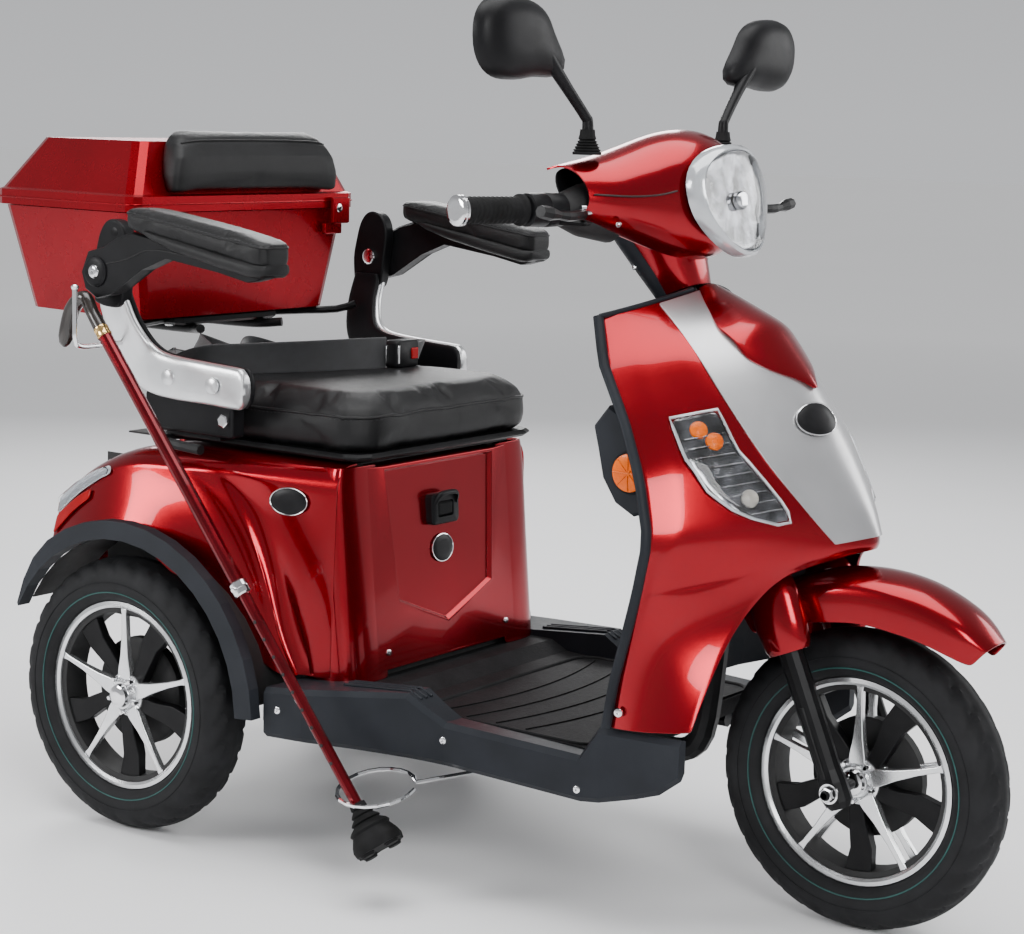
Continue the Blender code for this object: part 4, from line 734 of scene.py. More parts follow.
def build_shield():
    vs = [0, 0.012, 0.1, 0.2, 0.3, 0.4, 0.5, 0.6, 0.7, 0.8, 0.9, 0.97, 1.0, 1.02, 1.15, 1.3, 1.45, 1.6, 1.74, 1.75]
    grid = []
    inside = (0.860, 0, 0.600)
    for v in vs:
        w = panel_width(min(v, 0.96))
        c = crease_at(v)
        row = []
        if v <= 1.0:
            marks = [-1.0, -(1 + c) / 2, -c - 0.012,
                     -c + 0.012] + [-(w + (c - 0.012 - w) * f) for f in (0.66, 0.33, 0.0)]
            marks += [-w * 0.5]
        else:
            marks = [-1.0, -(1 + c) / 2, -c - 0.010, -c + 0.010]
            marks += [-(ARCH_T + (c - 0.010 - ARCH_T) * f) for f in (0.75, 0.5, 0.25, 0.0)]
        marks += [0.0] + [-m for m in reversed(marks)]
        for t in marks:
            if v > 1.0 and t == 0.0:
                t = ARCH_T
            back = np.array((0.0, 0.0, 0.0))
            if abs(t) > c:
                k = (abs(t) - c) / (1.001 - c)
                back = np.array((-0.004 * k, -math.copysign(0.0035 * k, t), 0.0))
            row.append(shield_point(t, v) + back)
        grid.append(row)
    split = vs.index(1.0)
    middle = (len(grid[0]) - 1) // 2
    skin = shell("leg_shield_skin", "red_paint", "chassis", grid, inside, 0.0035,
                 keep=lambda i, j: i < split or not middle - 1 <= j <= middle)
    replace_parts(skin, "leg_shield")
    grid = [[shield_point(panel_width(v) * f, v, 0.0016) for f in (-0.992, -0.97, -0.6, -0.3, 0, 0.3, 0.6, 0.97,
                                                                   0.992)]
            for v in (0.006, 0.03, 0.12, 0.24, 0.36, 0.48, 0.6, 0.72, 0.84, 0.925, 0.935)]
    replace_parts(shell("silver_panel_skin", "silver_paint", "chassis", grid, inside, 0.0030), "silver_panel")
    width = [(0.0, 0.16), (0.04, 0.26), (0.15, 0.40), (0.28, 0.36), (0.34, 0.245), (0.39, 0.095), (0.425, 0.02)]
    grid = []
    for v in (0.0, 0.010, 0.05, 0.10, 0.15, 0.20, 0.24, 0.28, 0.31, 0.34, 0.365, 0.39, 0.41, 0.425):
        w = table(v, width)
        grid.append([shield_point(w * f, v, 0.0020 + 0.0026 * (1 - f ** 4)) for f in
                     (-1, -0.93, -0.7, -0.35, 0, 0.35, 0.7, 0.93, 1)])
    shell("nose_panel", "red_paint", "chassis", grid, inside, 0.0045)
    badge("shield_badge", "chassis", lambda a, b,
          c: Vector(shield_point(-0.12 + a / 0.245, 0.515 - b / 0.52, 0.0020 + c)),
          0.034, 0.026)
    for side, sign in SIDES:
        path = [Vector(shield_point(sign * 1.0, v)) + Vector((-0.007, sign * 0.0020,
                                                              0)) for v in np.linspace(0, 1.75, 26)]
        swept(f"shield_trim_{side}", "slate_plastic", "chassis", path, 0.0075, 10, 0.62)
        path = [Vector(shield_point(sign * t, 0.0)) + Vector((-0.006, 0, 0.0005)) for t in np.linspace(1.0, 0.20, 12)]
        swept(f"shield_lip_{side}", "slate_plastic", "chassis", path, 0.0055, 8, 0.7)
        signal(side, sign)
        screw(f"shield_screw_{side}", "chassis", (0.853, sign * 0.2745, 0.3180), (0.25, sign, 0), 0.0065, "chrome",
              0.003)


def badge(name, body, place, half_w, half_h):
    """A blank dark oval with a thin bright border."""
    bm = bmesh.new()
    rows = []
    for k, depth in ((1.0, 0.0), (1.0, 0.0020), (0.93, 0.0030), (0.5, 0.0036), (0.15, 0.0038)):
        rows.append([bm.verts.new(place(half_w * k * math.cos(a), half_h * k * math.sin(a), depth))
                     for a in around(36)])
    bridge(bm, rows, 36)
    bm.faces.new(rows[0])
    bm.faces.new(rows[-1])
    finish(bm, name, "dark_badge", body, 40)
    path = [place(half_w * math.cos(a), half_h * math.sin(a), 0.0022) for a in around(48)]
    swept(f"{name}_rim", "chrome", body, path, 0.0011, 6, closed=True)


def signal_edges(v):
    outer = table(v, [(0.42, 0.845), (0.56, 0.83), (0.68, 0.765), (0.77, 0.65), (0.82, 0.50)])
    inner = table(v, [(0.42, 0.63), (0.56, 0.605), (0.68, 0.515), (0.77, 0.455), (0.82, 0.445)])
    return outer, inner


def signal(side, sign):
    """Front turn signal: bright bowl with amber bands, clear fluted lens and a silver rim."""
    inside = (0.860, 0, 0.600)

    def patch(lift, shrink, vs, count=7):
        rows = []
        for v in vs:
            outer, inner = signal_edges(v)
            mid, half = (outer + inner) / 2, (outer - inner) / 2 * shrink
            rows.append([shield_point(sign * (mid + half * f), v, lift(f)) for f in np.linspace(-1, 1, count)])
        return rows

    vs = [0.425, 0.47, 0.52, 0.57, 0.62, 0.67, 0.72, 0.77, 0.81]
    shell(f"signal_bowl_{side}", "reflector", "chassis", patch(lambda f: 0.0040, 0.94, vs), inside, 0.0018, 1)
    for k, (v0, f) in enumerate(((0.475, 0.05), (0.520, -0.15), (0.720, 0.0))):
        outer, inner = signal_edges(v0)
        place = Vector(shield_point(sign * ((outer + inner) / 2 + f * (outer - inner)), v0, 0.0040))
        out = Vector(shield_normal(sign * (outer + inner) / 2, v0))
        turned(f"signal_bulb_{side}_{k}", "amber" if k < 2 else "bulb", "chassis", place, place + out * 0.0052,
               [(0, 0.0125), (0.5, 0.0115), (0.85, 0.0075), (1, 0.003)], 20)
    lens = shell(f"signal_lens_{side}", "clear_lens", "chassis",
                 patch(lambda f: 0.0072 + 0.0022 * (1 - f ** 4), 0.95, vs, 9),
                 inside, 0.0016, 2)
    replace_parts(lens, f"turn_signal_{side}")
    for k in range(9):
        v0 = 0.50 + 0.034 * k
        outer, inner = signal_edges(v0)
        path = [Vector(shield_point(sign * (inner + (outer - inner) * f), v0,
                                    0.0056)) for f in np.linspace(0.10, 0.90, 7)]
        swept(f"signal_flute_{side}_{k}", "reflector", "chassis", path, 0.0012, 8)
    rim = []
    for v in np.linspace(0.42, 0.82, 12):
        rim.append(Vector(shield_point(sign * signal_edges(v)[0], v, 0.0050)))
    for v in np.linspace(0.82, 0.42, 12):
        rim.append(Vector(shield_point(sign * signal_edges(v)[1], v, 0.0050)))
    swept(f"signal_rim_{side}", "lamp_rim", "chassis", rim, 0.0024, 8, closed=True)


def build_inner_shield():
    """Glove box lid, side reflectors and hook of the inner shield."""
    for side, sign in SIDES:
        centre = Vector((0.822, sign * 0.2142, 0.632))
        turned(f"reflector_base_{side}", "black_plastic", "chassis", centre, centre + Vector((0, sign * 0.0050, 0)),
               [(0, 0.0285), (0.7, 0.0290), (1, 0.0275)], 40)
        turned(f"reflector_{side}", "amber", "chassis", centre + Vector((0, sign * 0.0050, 0)),
               centre + Vector((0, sign * 0.0095, 0)), [(0, 0.0262), (0.55, 0.0256), (0.9, 0.020), (1, 0.008)], 32)
        for k in range(4):
            a = math.pi * k / 4
            d = Vector((math.cos(a) * 0.0240, 0, math.sin(a) * 0.0240))
            swept(f"reflector_rib_{side}_{k}", "amber", "chassis",
                  [centre + d + Vector((0, sign * 0.0090, 0)), centre + Vector((0, sign * 0.0104, 0)),
                   centre - d + Vector((0, sign * 0.0090, 0))], 0.0011, 6)
    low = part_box("glove_box")[0]
    x = low.x - SHIFT_X
    outline = rounded_rect(0, 0.655, 0.176, 0.036, 0.016)
    loops = [[(x + dx + (z - 0.655) * slope, y, z) for y, z in outline] for dx,
             slope in ((0.010, -0.06), (-0.002, -0.06))]
    soften(loft("glove_box_lid", "slate_plastic", "chassis", loops), 0.003, 3)
    rounded("glove_box_catch", "black_plastic", "chassis", (x - 0.010, -0.022, 0.640), (x - 0.001, 0.022, 0.652),
            0.003)
    turned("glove_box_lock", "chrome", "chassis", (x - 0.001, 0.060, 0.646), (x - 0.007, 0.060, 0.646),
           [(0, 0.0085), (0.8, 0.0085), (1, 0.007)], 24)
    rounded("bag_hook_plate", "black_plastic", "chassis", (0.758, -0.020, 0.742), (0.776, 0.020, 0.772), 0.004)
    swept("bag_hook", "black_steel", "chassis",
          catmull([(0.762, 0, 0.764), (0.744, 0, 0.760), (0.730, 0, 0.744), (0.736, 0, 0.730), (0.748, 0, 0.728)], 5),
          0.0042, 10)


# ---------------------------------------------------------------- head, bars and mirrors
HEAD_ROWS = [  # |y|, then (x, z) of the rear lip, crown, brow, front, chin and under lip
    (0.000, (0.668, 1.050), (0.735, 1.098), (0.798, 1.083), (0.832, 1.045), (0.846, 0.960), (0.826, 0.914),
     (0.790, 0.906)),
    (0.050, (0.666, 1.048), (0.732, 1.093), (0.792, 1.077), (0.824, 1.040), (0.832, 0.962), (0.808, 0.919),
     (0.776, 0.911)),
    (0.100, (0.664, 1.044), (0.724, 1.074), (0.772, 1.055), (0.797, 1.020), (0.799, 0.968), (0.776, 0.937),
     (0.752, 0.929)),
    (0.150, (0.662, 1.040), (0.712, 1.054), (0.750, 1.040), (0.774, 1.012), (0.778, 0.978), (0.760, 0.953),
     (0.738, 0.946)),
    (0.185, (0.662, 1.036), (0.700, 1.045), (0.732, 1.034), (0.754, 1.008), (0.758, 0.982), (0.744, 0.964),
     (0.724, 0.958)),
    (0.207, (0.664, 1.032), (0.690, 1.040), (0.716, 1.030), (0.736, 1.008), (0.738, 0.986), (0.726, 0.972),
     (0.708, 0.967))]
BAR_HALF = [(-0.050, 0.275, 0.004), (-0.042, 0.245, 0.004), (-0.022, 0.170, 0.004), (-0.004, 0.075, 0.0)]


def build_head():
    grid = []
    for y, *points in [(-r[0], *r[1:]) for r in reversed(HEAD_ROWS[1:])] + HEAD_ROWS:
        grid.append([(x, y, z) for x, z in points])
    grid = np.array(grid)
    ends = (grid[0] * 0.985 + grid[1] * 0.015, grid[-1] * 0.985 + grid[-2] * 0.015)
    grid = np.concatenate([grid[:1], ends[0][None], grid[1:-1], ends[1][None], grid[-1:]])
    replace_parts(shell("head_cover_skin", "red_paint", "steering", grid, (0.700, 0, 1.000), 0.0030, 3), "head_cover")
    for side, sign in SIDES:
        path = [(0.742, sign * 0.2065, 1.000), (0.772, sign * 0.160, 0.998), (0.790, sign * 0.120, 1.000),
                (0.806, sign * 0.098, 1.006)]
        swept(f"head_seam_{side}", "well_black", "steering",
              catmull([Vector(p) + Vector((0.0016, 0, 0)) for p in path], 5), 0.0011, 6)
        screw(f"head_screw_{side}", "steering", (0.7605, sign * 0.1700, 0.9600), (0.5, sign * 0.3, -1), 0.0045)
    tilt = math.radians(8)
    centre = Vector((0.840, 0, 0.992))

    def face(a, k, depth):
        """A point of the rounded triangular lamp: angle, size and how far forward."""
        s = math.sin(a)
        y = (0.083 + 0.017 * s - 0.006 * s * s) * math.copysign(abs(math.cos(a)) ** 0.88, math.cos(a)) * k
        z = 0.076 * math.copysign(abs(s) ** 0.92, s) * k
        x = depth - y * y * 3.2 - max(z, 0) ** 2 * 2.0
        return centre + Vector((x * math.cos(tilt) - z * math.sin(tilt), y, z * math.cos(tilt) + x * math.sin(tilt)))

    angles = around(48)
    loft("headlight_bezel", "lamp_rim", "steering", [[face(a, k, d) for a in angles] for k, d in
         ((1.03, 0.002), (1.04, 0.012), (1.015, 0.0215), (0.955, 0.0245), (0.925, 0.0225), (0.915, 0.016),
          (0.93, 0.002))],
         closed=True)
    loft("headlight_bowl", "reflector", "steering", [[face(a, k, d) for a in angles] for k, d in
         ((0.92, 0.0150), (0.86, 0.0060), (0.72, -0.0060), (0.50, -0.0170), (0.26, -0.0230), (0.12, -0.0240))],
         caps=True)
    lens = loft("headlight_glass", "clear_lens", "steering", [[face(a, k, d) for a in angles] for k, d in
                ((0.20, 0.0270), (0.60, 0.0262), (0.925, 0.0195), (0.925, 0.0215), (0.85, 0.0275), (0.60, 0.0325),
                 (0.30, 0.0348), (0.10, 0.0352))], smooth=60)
    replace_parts(lens, "headlight_lens")
    turned("headlight_bulb", "bulb", "steering", face(0, 0, -0.022), face(0, 0, 0.010),
           [(0, 0.008), (0.3, 0.0085), (0.7, 0.010), (0.93, 0.0075), (1, 0.003)], 24)
    turned("headlight_bulb_shield", "chrome", "steering", face(0, 0, 0.006), face(0, 0, 0.0165),
           [(0, 0.0125), (0.5, 0.0130), (0.9, 0.0110), (1, 0.005)], 24)
    for k, (a, off) in enumerate(((math.radians(155), 0.40), (math.radians(25), 0.40))):
        place = face(a, off, -0.010)
        turned(f"position_bulb_{k}", "bulb", "steering", place, place + Vector((0.014, 0, 0.002)),
               [(0, 0.0045), (0.7, 0.0055), (1, 0.002)], 16)
    for k, f in enumerate((-0.55, -0.28, 0.28, 0.55)):
        path = [face(math.atan2(z, f) if f else 0, math.hypot(f, z), -0.010 + 0.022 * (f * f + z * z)) for z in
                np.linspace(-0.55, 0.55, 9)]
        swept(f"bowl_rib_{k}", "reflector", "steering", path, 0.0014, 6)
    rows = []
    for y in np.linspace(-0.198, 0.198, 13):
        f = abs(y) / 0.207
        top = (0.6700, 1.0460 - 0.016 * f)
        low = (0.712 - 0.004 * f, 0.935 + 0.034 * f)
        mid = (0.668 + 0.006, 1.000)
        rows.append([(top[0], y, top[1]), (mid[0], y, mid[1]), (low[0], y, low[1]),
                     (0.760 - 0.040 * f, y, 0.922 + 0.044 * f)])
    shell("dash_cover", "black_plastic", "steering", rows, (0.75, 0, 1.0), 0.0025)
    dial = Vector((0.6690, 0.012, 1.022))
    facing = Vector((-1.0, 0, 0.18)).normalized()
    turned("dash_dial", "dial", "steering", dial, dial + facing * 0.0085,
           [(0, 0.038), (0.5, 0.040), (0.85, 0.038), (0.9, 0.033), (1, 0.031)], 40)
    ring_path = [dial + facing * 0.0080 + Vector((0, 0.039 * math.cos(a), 0.039 * math.sin(a)))
                 for a in around(40)]
    swept("dash_ring", "chrome", "steering", ring_path, 0.0022, 8, closed=True)
    for k in range(9):
        a = math.radians(-30 + 30 * k)
        d = Vector((0, math.cos(a), math.sin(a)))
        swept(f"dash_tick_{k}", "lamp_rim", "steering",
              [dial + facing * 0.0090 + d * 0.022, dial + facing * 0.0090 + d * 0.029], 0.0009, 6)
    a = math.radians(150)
    swept("dash_needle", "amber", "steering",
          [dial + facing * 0.0096, dial + facing * 0.0096 + Vector((0, math.cos(a), math.sin(a))) * 0.024],
          [0.0014, 0.0007], 6)
    for k, y in enumerate((0.090, 0.118, 0.146)):
        rounded(f"dash_switch_{k}", "rubber", "steering", (0.658, y - 0.010, 1.002), (0.676, y + 0.010, 1.024), 0.003)
    build_neck()


def build_neck():
    """Covers round the steering column, between the head and the top of the shield."""
    axis_up = (steer(1) - steer(0)).normalized()
    across = Vector((0, 1, 0))
    ahead = across.cross(axis_up)
    loops = []
    for s, front, half, back in ((0.722, 0.030, 0.038, 0.045), (0.755, 0.034, 0.046, 0.056),
                                 (0.785, 0.044, 0.060, 0.064),
                                 (0.815, 0.058, 0.076, 0.070), (0.840, 0.070, 0.088, 0.072)):
        mid = steer(s)
        loop = []
        for a in around(28):
            c, q = math.cos(a), math.sin(a)
            loop.append(mid + ahead * ((front if c > 0 else back) * math.copysign(abs(c) ** 0.8, c))
                        + across * (half * math.copysign(abs(q) ** 0.8, q)))
        loops.append(loop)
    count = len(loops[0])
    for name, material, keep in (("neck_cover", "red_paint",
                                  lambda k: math.cos(2 * math.pi * (k + 0.5) / count) > -0.12),
                                 ("column_cover", "slate_plastic",
                                  lambda k: math.cos(2 * math.pi * (k + 0.5) / count) <= -0.12)):
        bm = bmesh.new()
        rows = [[bm.verts.new(p) for p in loop] for loop in loops]
        for a, b in zip(rows, rows[1:]):
            for k in range(count):
                if keep(k):
                    bm.faces.new((a[k], a[(k + 1) % count], b[(k + 1) % count], b[k]))
        for v in [v for v in bm.verts if not v.link_faces]:
            bm.verts.remove(v)
        bm.normal_update()
        face = bm.faces[:][0]
        if (Vector(steer(0.79)) - face.calc_center_median()).dot(face.normal) > 0:
            bmesh.ops.reverse_faces(bm, faces=bm.faces)
        obj = finish(bm, name, material, "steering", 50, recalc=False)
        modifier(obj, "SOLIDIFY", thickness=0.0028, offset=-1.0)
        soften(obj, 0.0009, 2, 50)
    for side, sign in SIDES:
        screw(f"neck_screw_{side}", "steering", steer(0.790) + ahead * 0.030 + across * (sign * 0.0535),
              (0.5, sign, 0.1), 0.0052)
        screw(f"column_screw_{side}", "steering", steer(0.775) - ahead * 0.046 + across * (sign * 0.0430),
              (-0.6, sign, 0), 0.0045)


def wavy_grip(side, sign, body):
    """Rubber grip with a flange and wave ribs, and a chrome end cap."""
    centre = steer(BAR_S)
    out = Vector((-0.2588, sign * 0.9659, 0.0))
    start = centre + Vector((BAR_HALF[0][0], sign * BAR_HALF[0][1], BAR_HALF[0][2])) + out * 0.0008
    x, y, z = frame_of(out)
    bm = bmesh.new()
    rows = []
    sides, steps, length = 36, 72, 0.1005
    for i in range(steps + 1):
        f = i / steps
        base = table(f, [(0, 0.0215), (0.05, 0.0215), (0.075, 0.0175), (0.96, 0.0180), (1, 0.0172)])
        row = []
        for k in range(sides):
            a = 2 * math.pi * k / sides
            wave = math.sin(2 * math.pi * (f * 13 + 0.16 * math.sin(3 * a)))
            r = base + (0.0007 * wave if 0.10 < f < 0.93 else 0.0)
            row.append(bm.verts.new(start + out * (length * f) + x * (r * math.cos(a)) + y * (r * math.sin(a))))
        rows.append(row)
    bridge(bm, rows, sides)
    bm.faces.new(rows[0])
    bm.faces.new(rows[-1])
    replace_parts(finish(bm, f"grip_{side}_rubber", "rubber", body, 50), f"grip_{side}")
    tip = start + out * length
    turned(f"grip_{side}_cap", "chrome", body, tip, tip + out * 0.0118,
           [(0, 0.0185), (0.10, 0.0205), (0.32, 0.0205), (0.36, 0.0188), (0.44, 0.0188), (0.48, 0.0205),
            (0.80, 0.0205),
            (0.95, 0.0178), (1.0, 0.012)], 32)


def build_controls():
    centre = steer(BAR_S)
    for side, sign, body in (("left", 1, "steering"), ("right", -1, "throttle")):
        wavy_grip(side, sign, body)
        start = centre + Vector((-0.0085, sign * 0.130, 0.002))
        swept(f"bar_boot_{side}", "well_black", "steering",
              [start, centre + Vector((-0.0240, sign * 0.176, 0.003)),
               centre + Vector((-0.0335, sign * 0.212, 0.004))],
              [0.044, 0.036, 0.022], 24)
        out = Vector((-0.2588, sign * 0.9659, 0.0))
        hub = centre + Vector((-0.038, sign * 0.240, 0.004))
        turned(f"switch_housing_{side}", "black_plastic", "steering", hub - out * 0.030, hub + out * 0.0335,
               [(0, 0.017), (0.04, 0.0225), (0.46, 0.0235), (0.50, 0.0222), (0.54, 0.0235), (0.96, 0.0225),
                (1, 0.018)], 28)
        rounded(f"switch_button_{side}", "red_lens" if sign < 0 else "lamp_rim", "steering",
                hub + Vector((-0.028, -0.008, 0.004)), hub + Vector((-0.018, 0.008, 0.016)), 0.002)
        pivot = hub - out * 0.020 + Vector((0.046, 0, -0.004))
        turned(f"lever_bolt_{side}", "chrome", "steering", pivot + Vector((0, 0, 0.0072)),
               pivot + Vector((0, 0, 0.0112)),
               [(0, 0.0062), (0.8, 0.0062), (1, 0.005)], 6, smooth=20)
        line = catmull([pivot + Vector((-0.010, sign * -0.012, 0.000)), pivot + Vector((0.006, sign * -0.050, 0.004)),
                        (0.762, sign * 0.120, 0.975), (0.772, sign * 0.060, 0.945), (0.766, sign * 0.026, 0.915)], 8)
        swept(f"brake_cable_{side}", "rubber", "steering", line, 0.0031, 8)
        turned(f"cable_ferrule_{side}", "chrome", "steering", pivot + Vector((-0.008, sign * -0.008, 0)),
               pivot + Vector((-0.004, sign * -0.024, 0.002)), [(0, 0.0045), (1, 0.0040)], 12)
        mirror(side, sign)


def mirror(side, sign):
    """Mirror head with its glass, a tapering stalk and a ribbed boot."""
    body = f"mirror_{side}"
    foot = Vector((0.712, sign * 0.180, 1.0518))
    route = [(0, 0, 0.008), (0.0, 0.0, 0.042), (-0.001, sign * 0.006, 0.052), (-0.006, sign * 0.048, 0.092),
             (-0.010, sign * 0.098, 0.138)]
    path = catmull([foot + Vector(p) for p in route], 6)
    n = len(path)
    swept(f"{body}_stalk", "black_plastic", body, path,
          [0.0088 - 0.0016 * math.sin(math.pi * i / n) + 0.0035 * (i / n) ** 6
                                                         for i in range(n)], 14)
    profile = [(0, 0.0195), (0.10, 0.0200)]
    profile += [(0.14 + 0.11 * k + d, 0.0185 - 0.0017 * k + e) for k in range(5) for d,
                e in ((0, -0.0012), (0.055, 0.0006))]
    profile += [(0.78, 0.0108), (1, 0.0100)]
    turned(f"{body}_boot", "rubber", body, foot, foot + Vector((0, 0, 0.034)), profile, 24)
    centre = foot + Vector((-0.015, sign * 0.149, 0.150))

    def oval(a, scale, depth):
        c, s = math.cos(a), math.sin(a)
        tail = 1 + 0.56 * math.exp(-((a - math.radians(207)) / 0.42) ** 2) * min(1.0, scale * 1.1)
        w = 0.080 * scale * tail * math.copysign(abs(c) ** 0.86, c) * (1 + 0.06 * s)
        h = 0.054 * scale * tail * math.copysign(abs(s) ** 0.86, s) * (1 + 0.10 * c)
        return centre + Vector((depth, sign * w, h))

    angles = around(40)
    loops = [[oval(a, k, d) for a in angles] for k, d in
             ((0.28, 0.0185), (0.55, 0.0172), (0.80, 0.0125), (0.94, 0.0050), (1.0, -0.0030), (0.995, -0.0125),
              (0.955, -0.0135), (0.945, -0.0110))]
    case = loft(f"{body}_case", "black_plastic", body, loops, smooth=45)
    loft(f"{body}_glass", "mirror", body, [[oval(a, k, d) for a in angles] for k, d in
                 ((0.944, -0.0112), (0.935, -0.0124), (0.5, -0.0130), (0.1, -0.0131))], smooth=60)
    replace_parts(case, body)


# ---------------------------------------------------------------- seat base
def fairing_point(x, f, out=0.0):
    """Outer skin of a side fairing (|y|): f 0 is the inner top edge, 1 the arch or sill edge."""
    top = table(x, [(-0.19, 0.510), (-0.14, 0.545), (-0.09, 0.570), (-0.04, 0.586), (0.02, 0.5895), (0.33, 0.5880)])
    shoulder = table(x, [(-0.19, 0.292), (-0.05, 0.300), (0.08, 0.287), (0.20, 0.262), (0.33, 0.236)])
    bottom = table(x, [(-0.19, 0.331), (0.05, 0.331), (0.15, 0.322), (0.25, 0.280), (0.33, 0.246)])
    arch = TYRE_R + math.sqrt(max(0.2495 ** 2 - x * x, 0.0))
    low = max(arch, 0.2725)
    if f < 0.2:
        k = f / 0.2
        return Vector((x, 0.186 + (shoulder - 0.012 - 0.186) * k, top - 0.003 * k * k))
    k = (f - 0.2) / 0.8
    y = shoulder + (bottom - shoulder) * k ** 1.2
    return Vector((x, y + out, (top - 0.022) + (low - top + 0.022) * k))


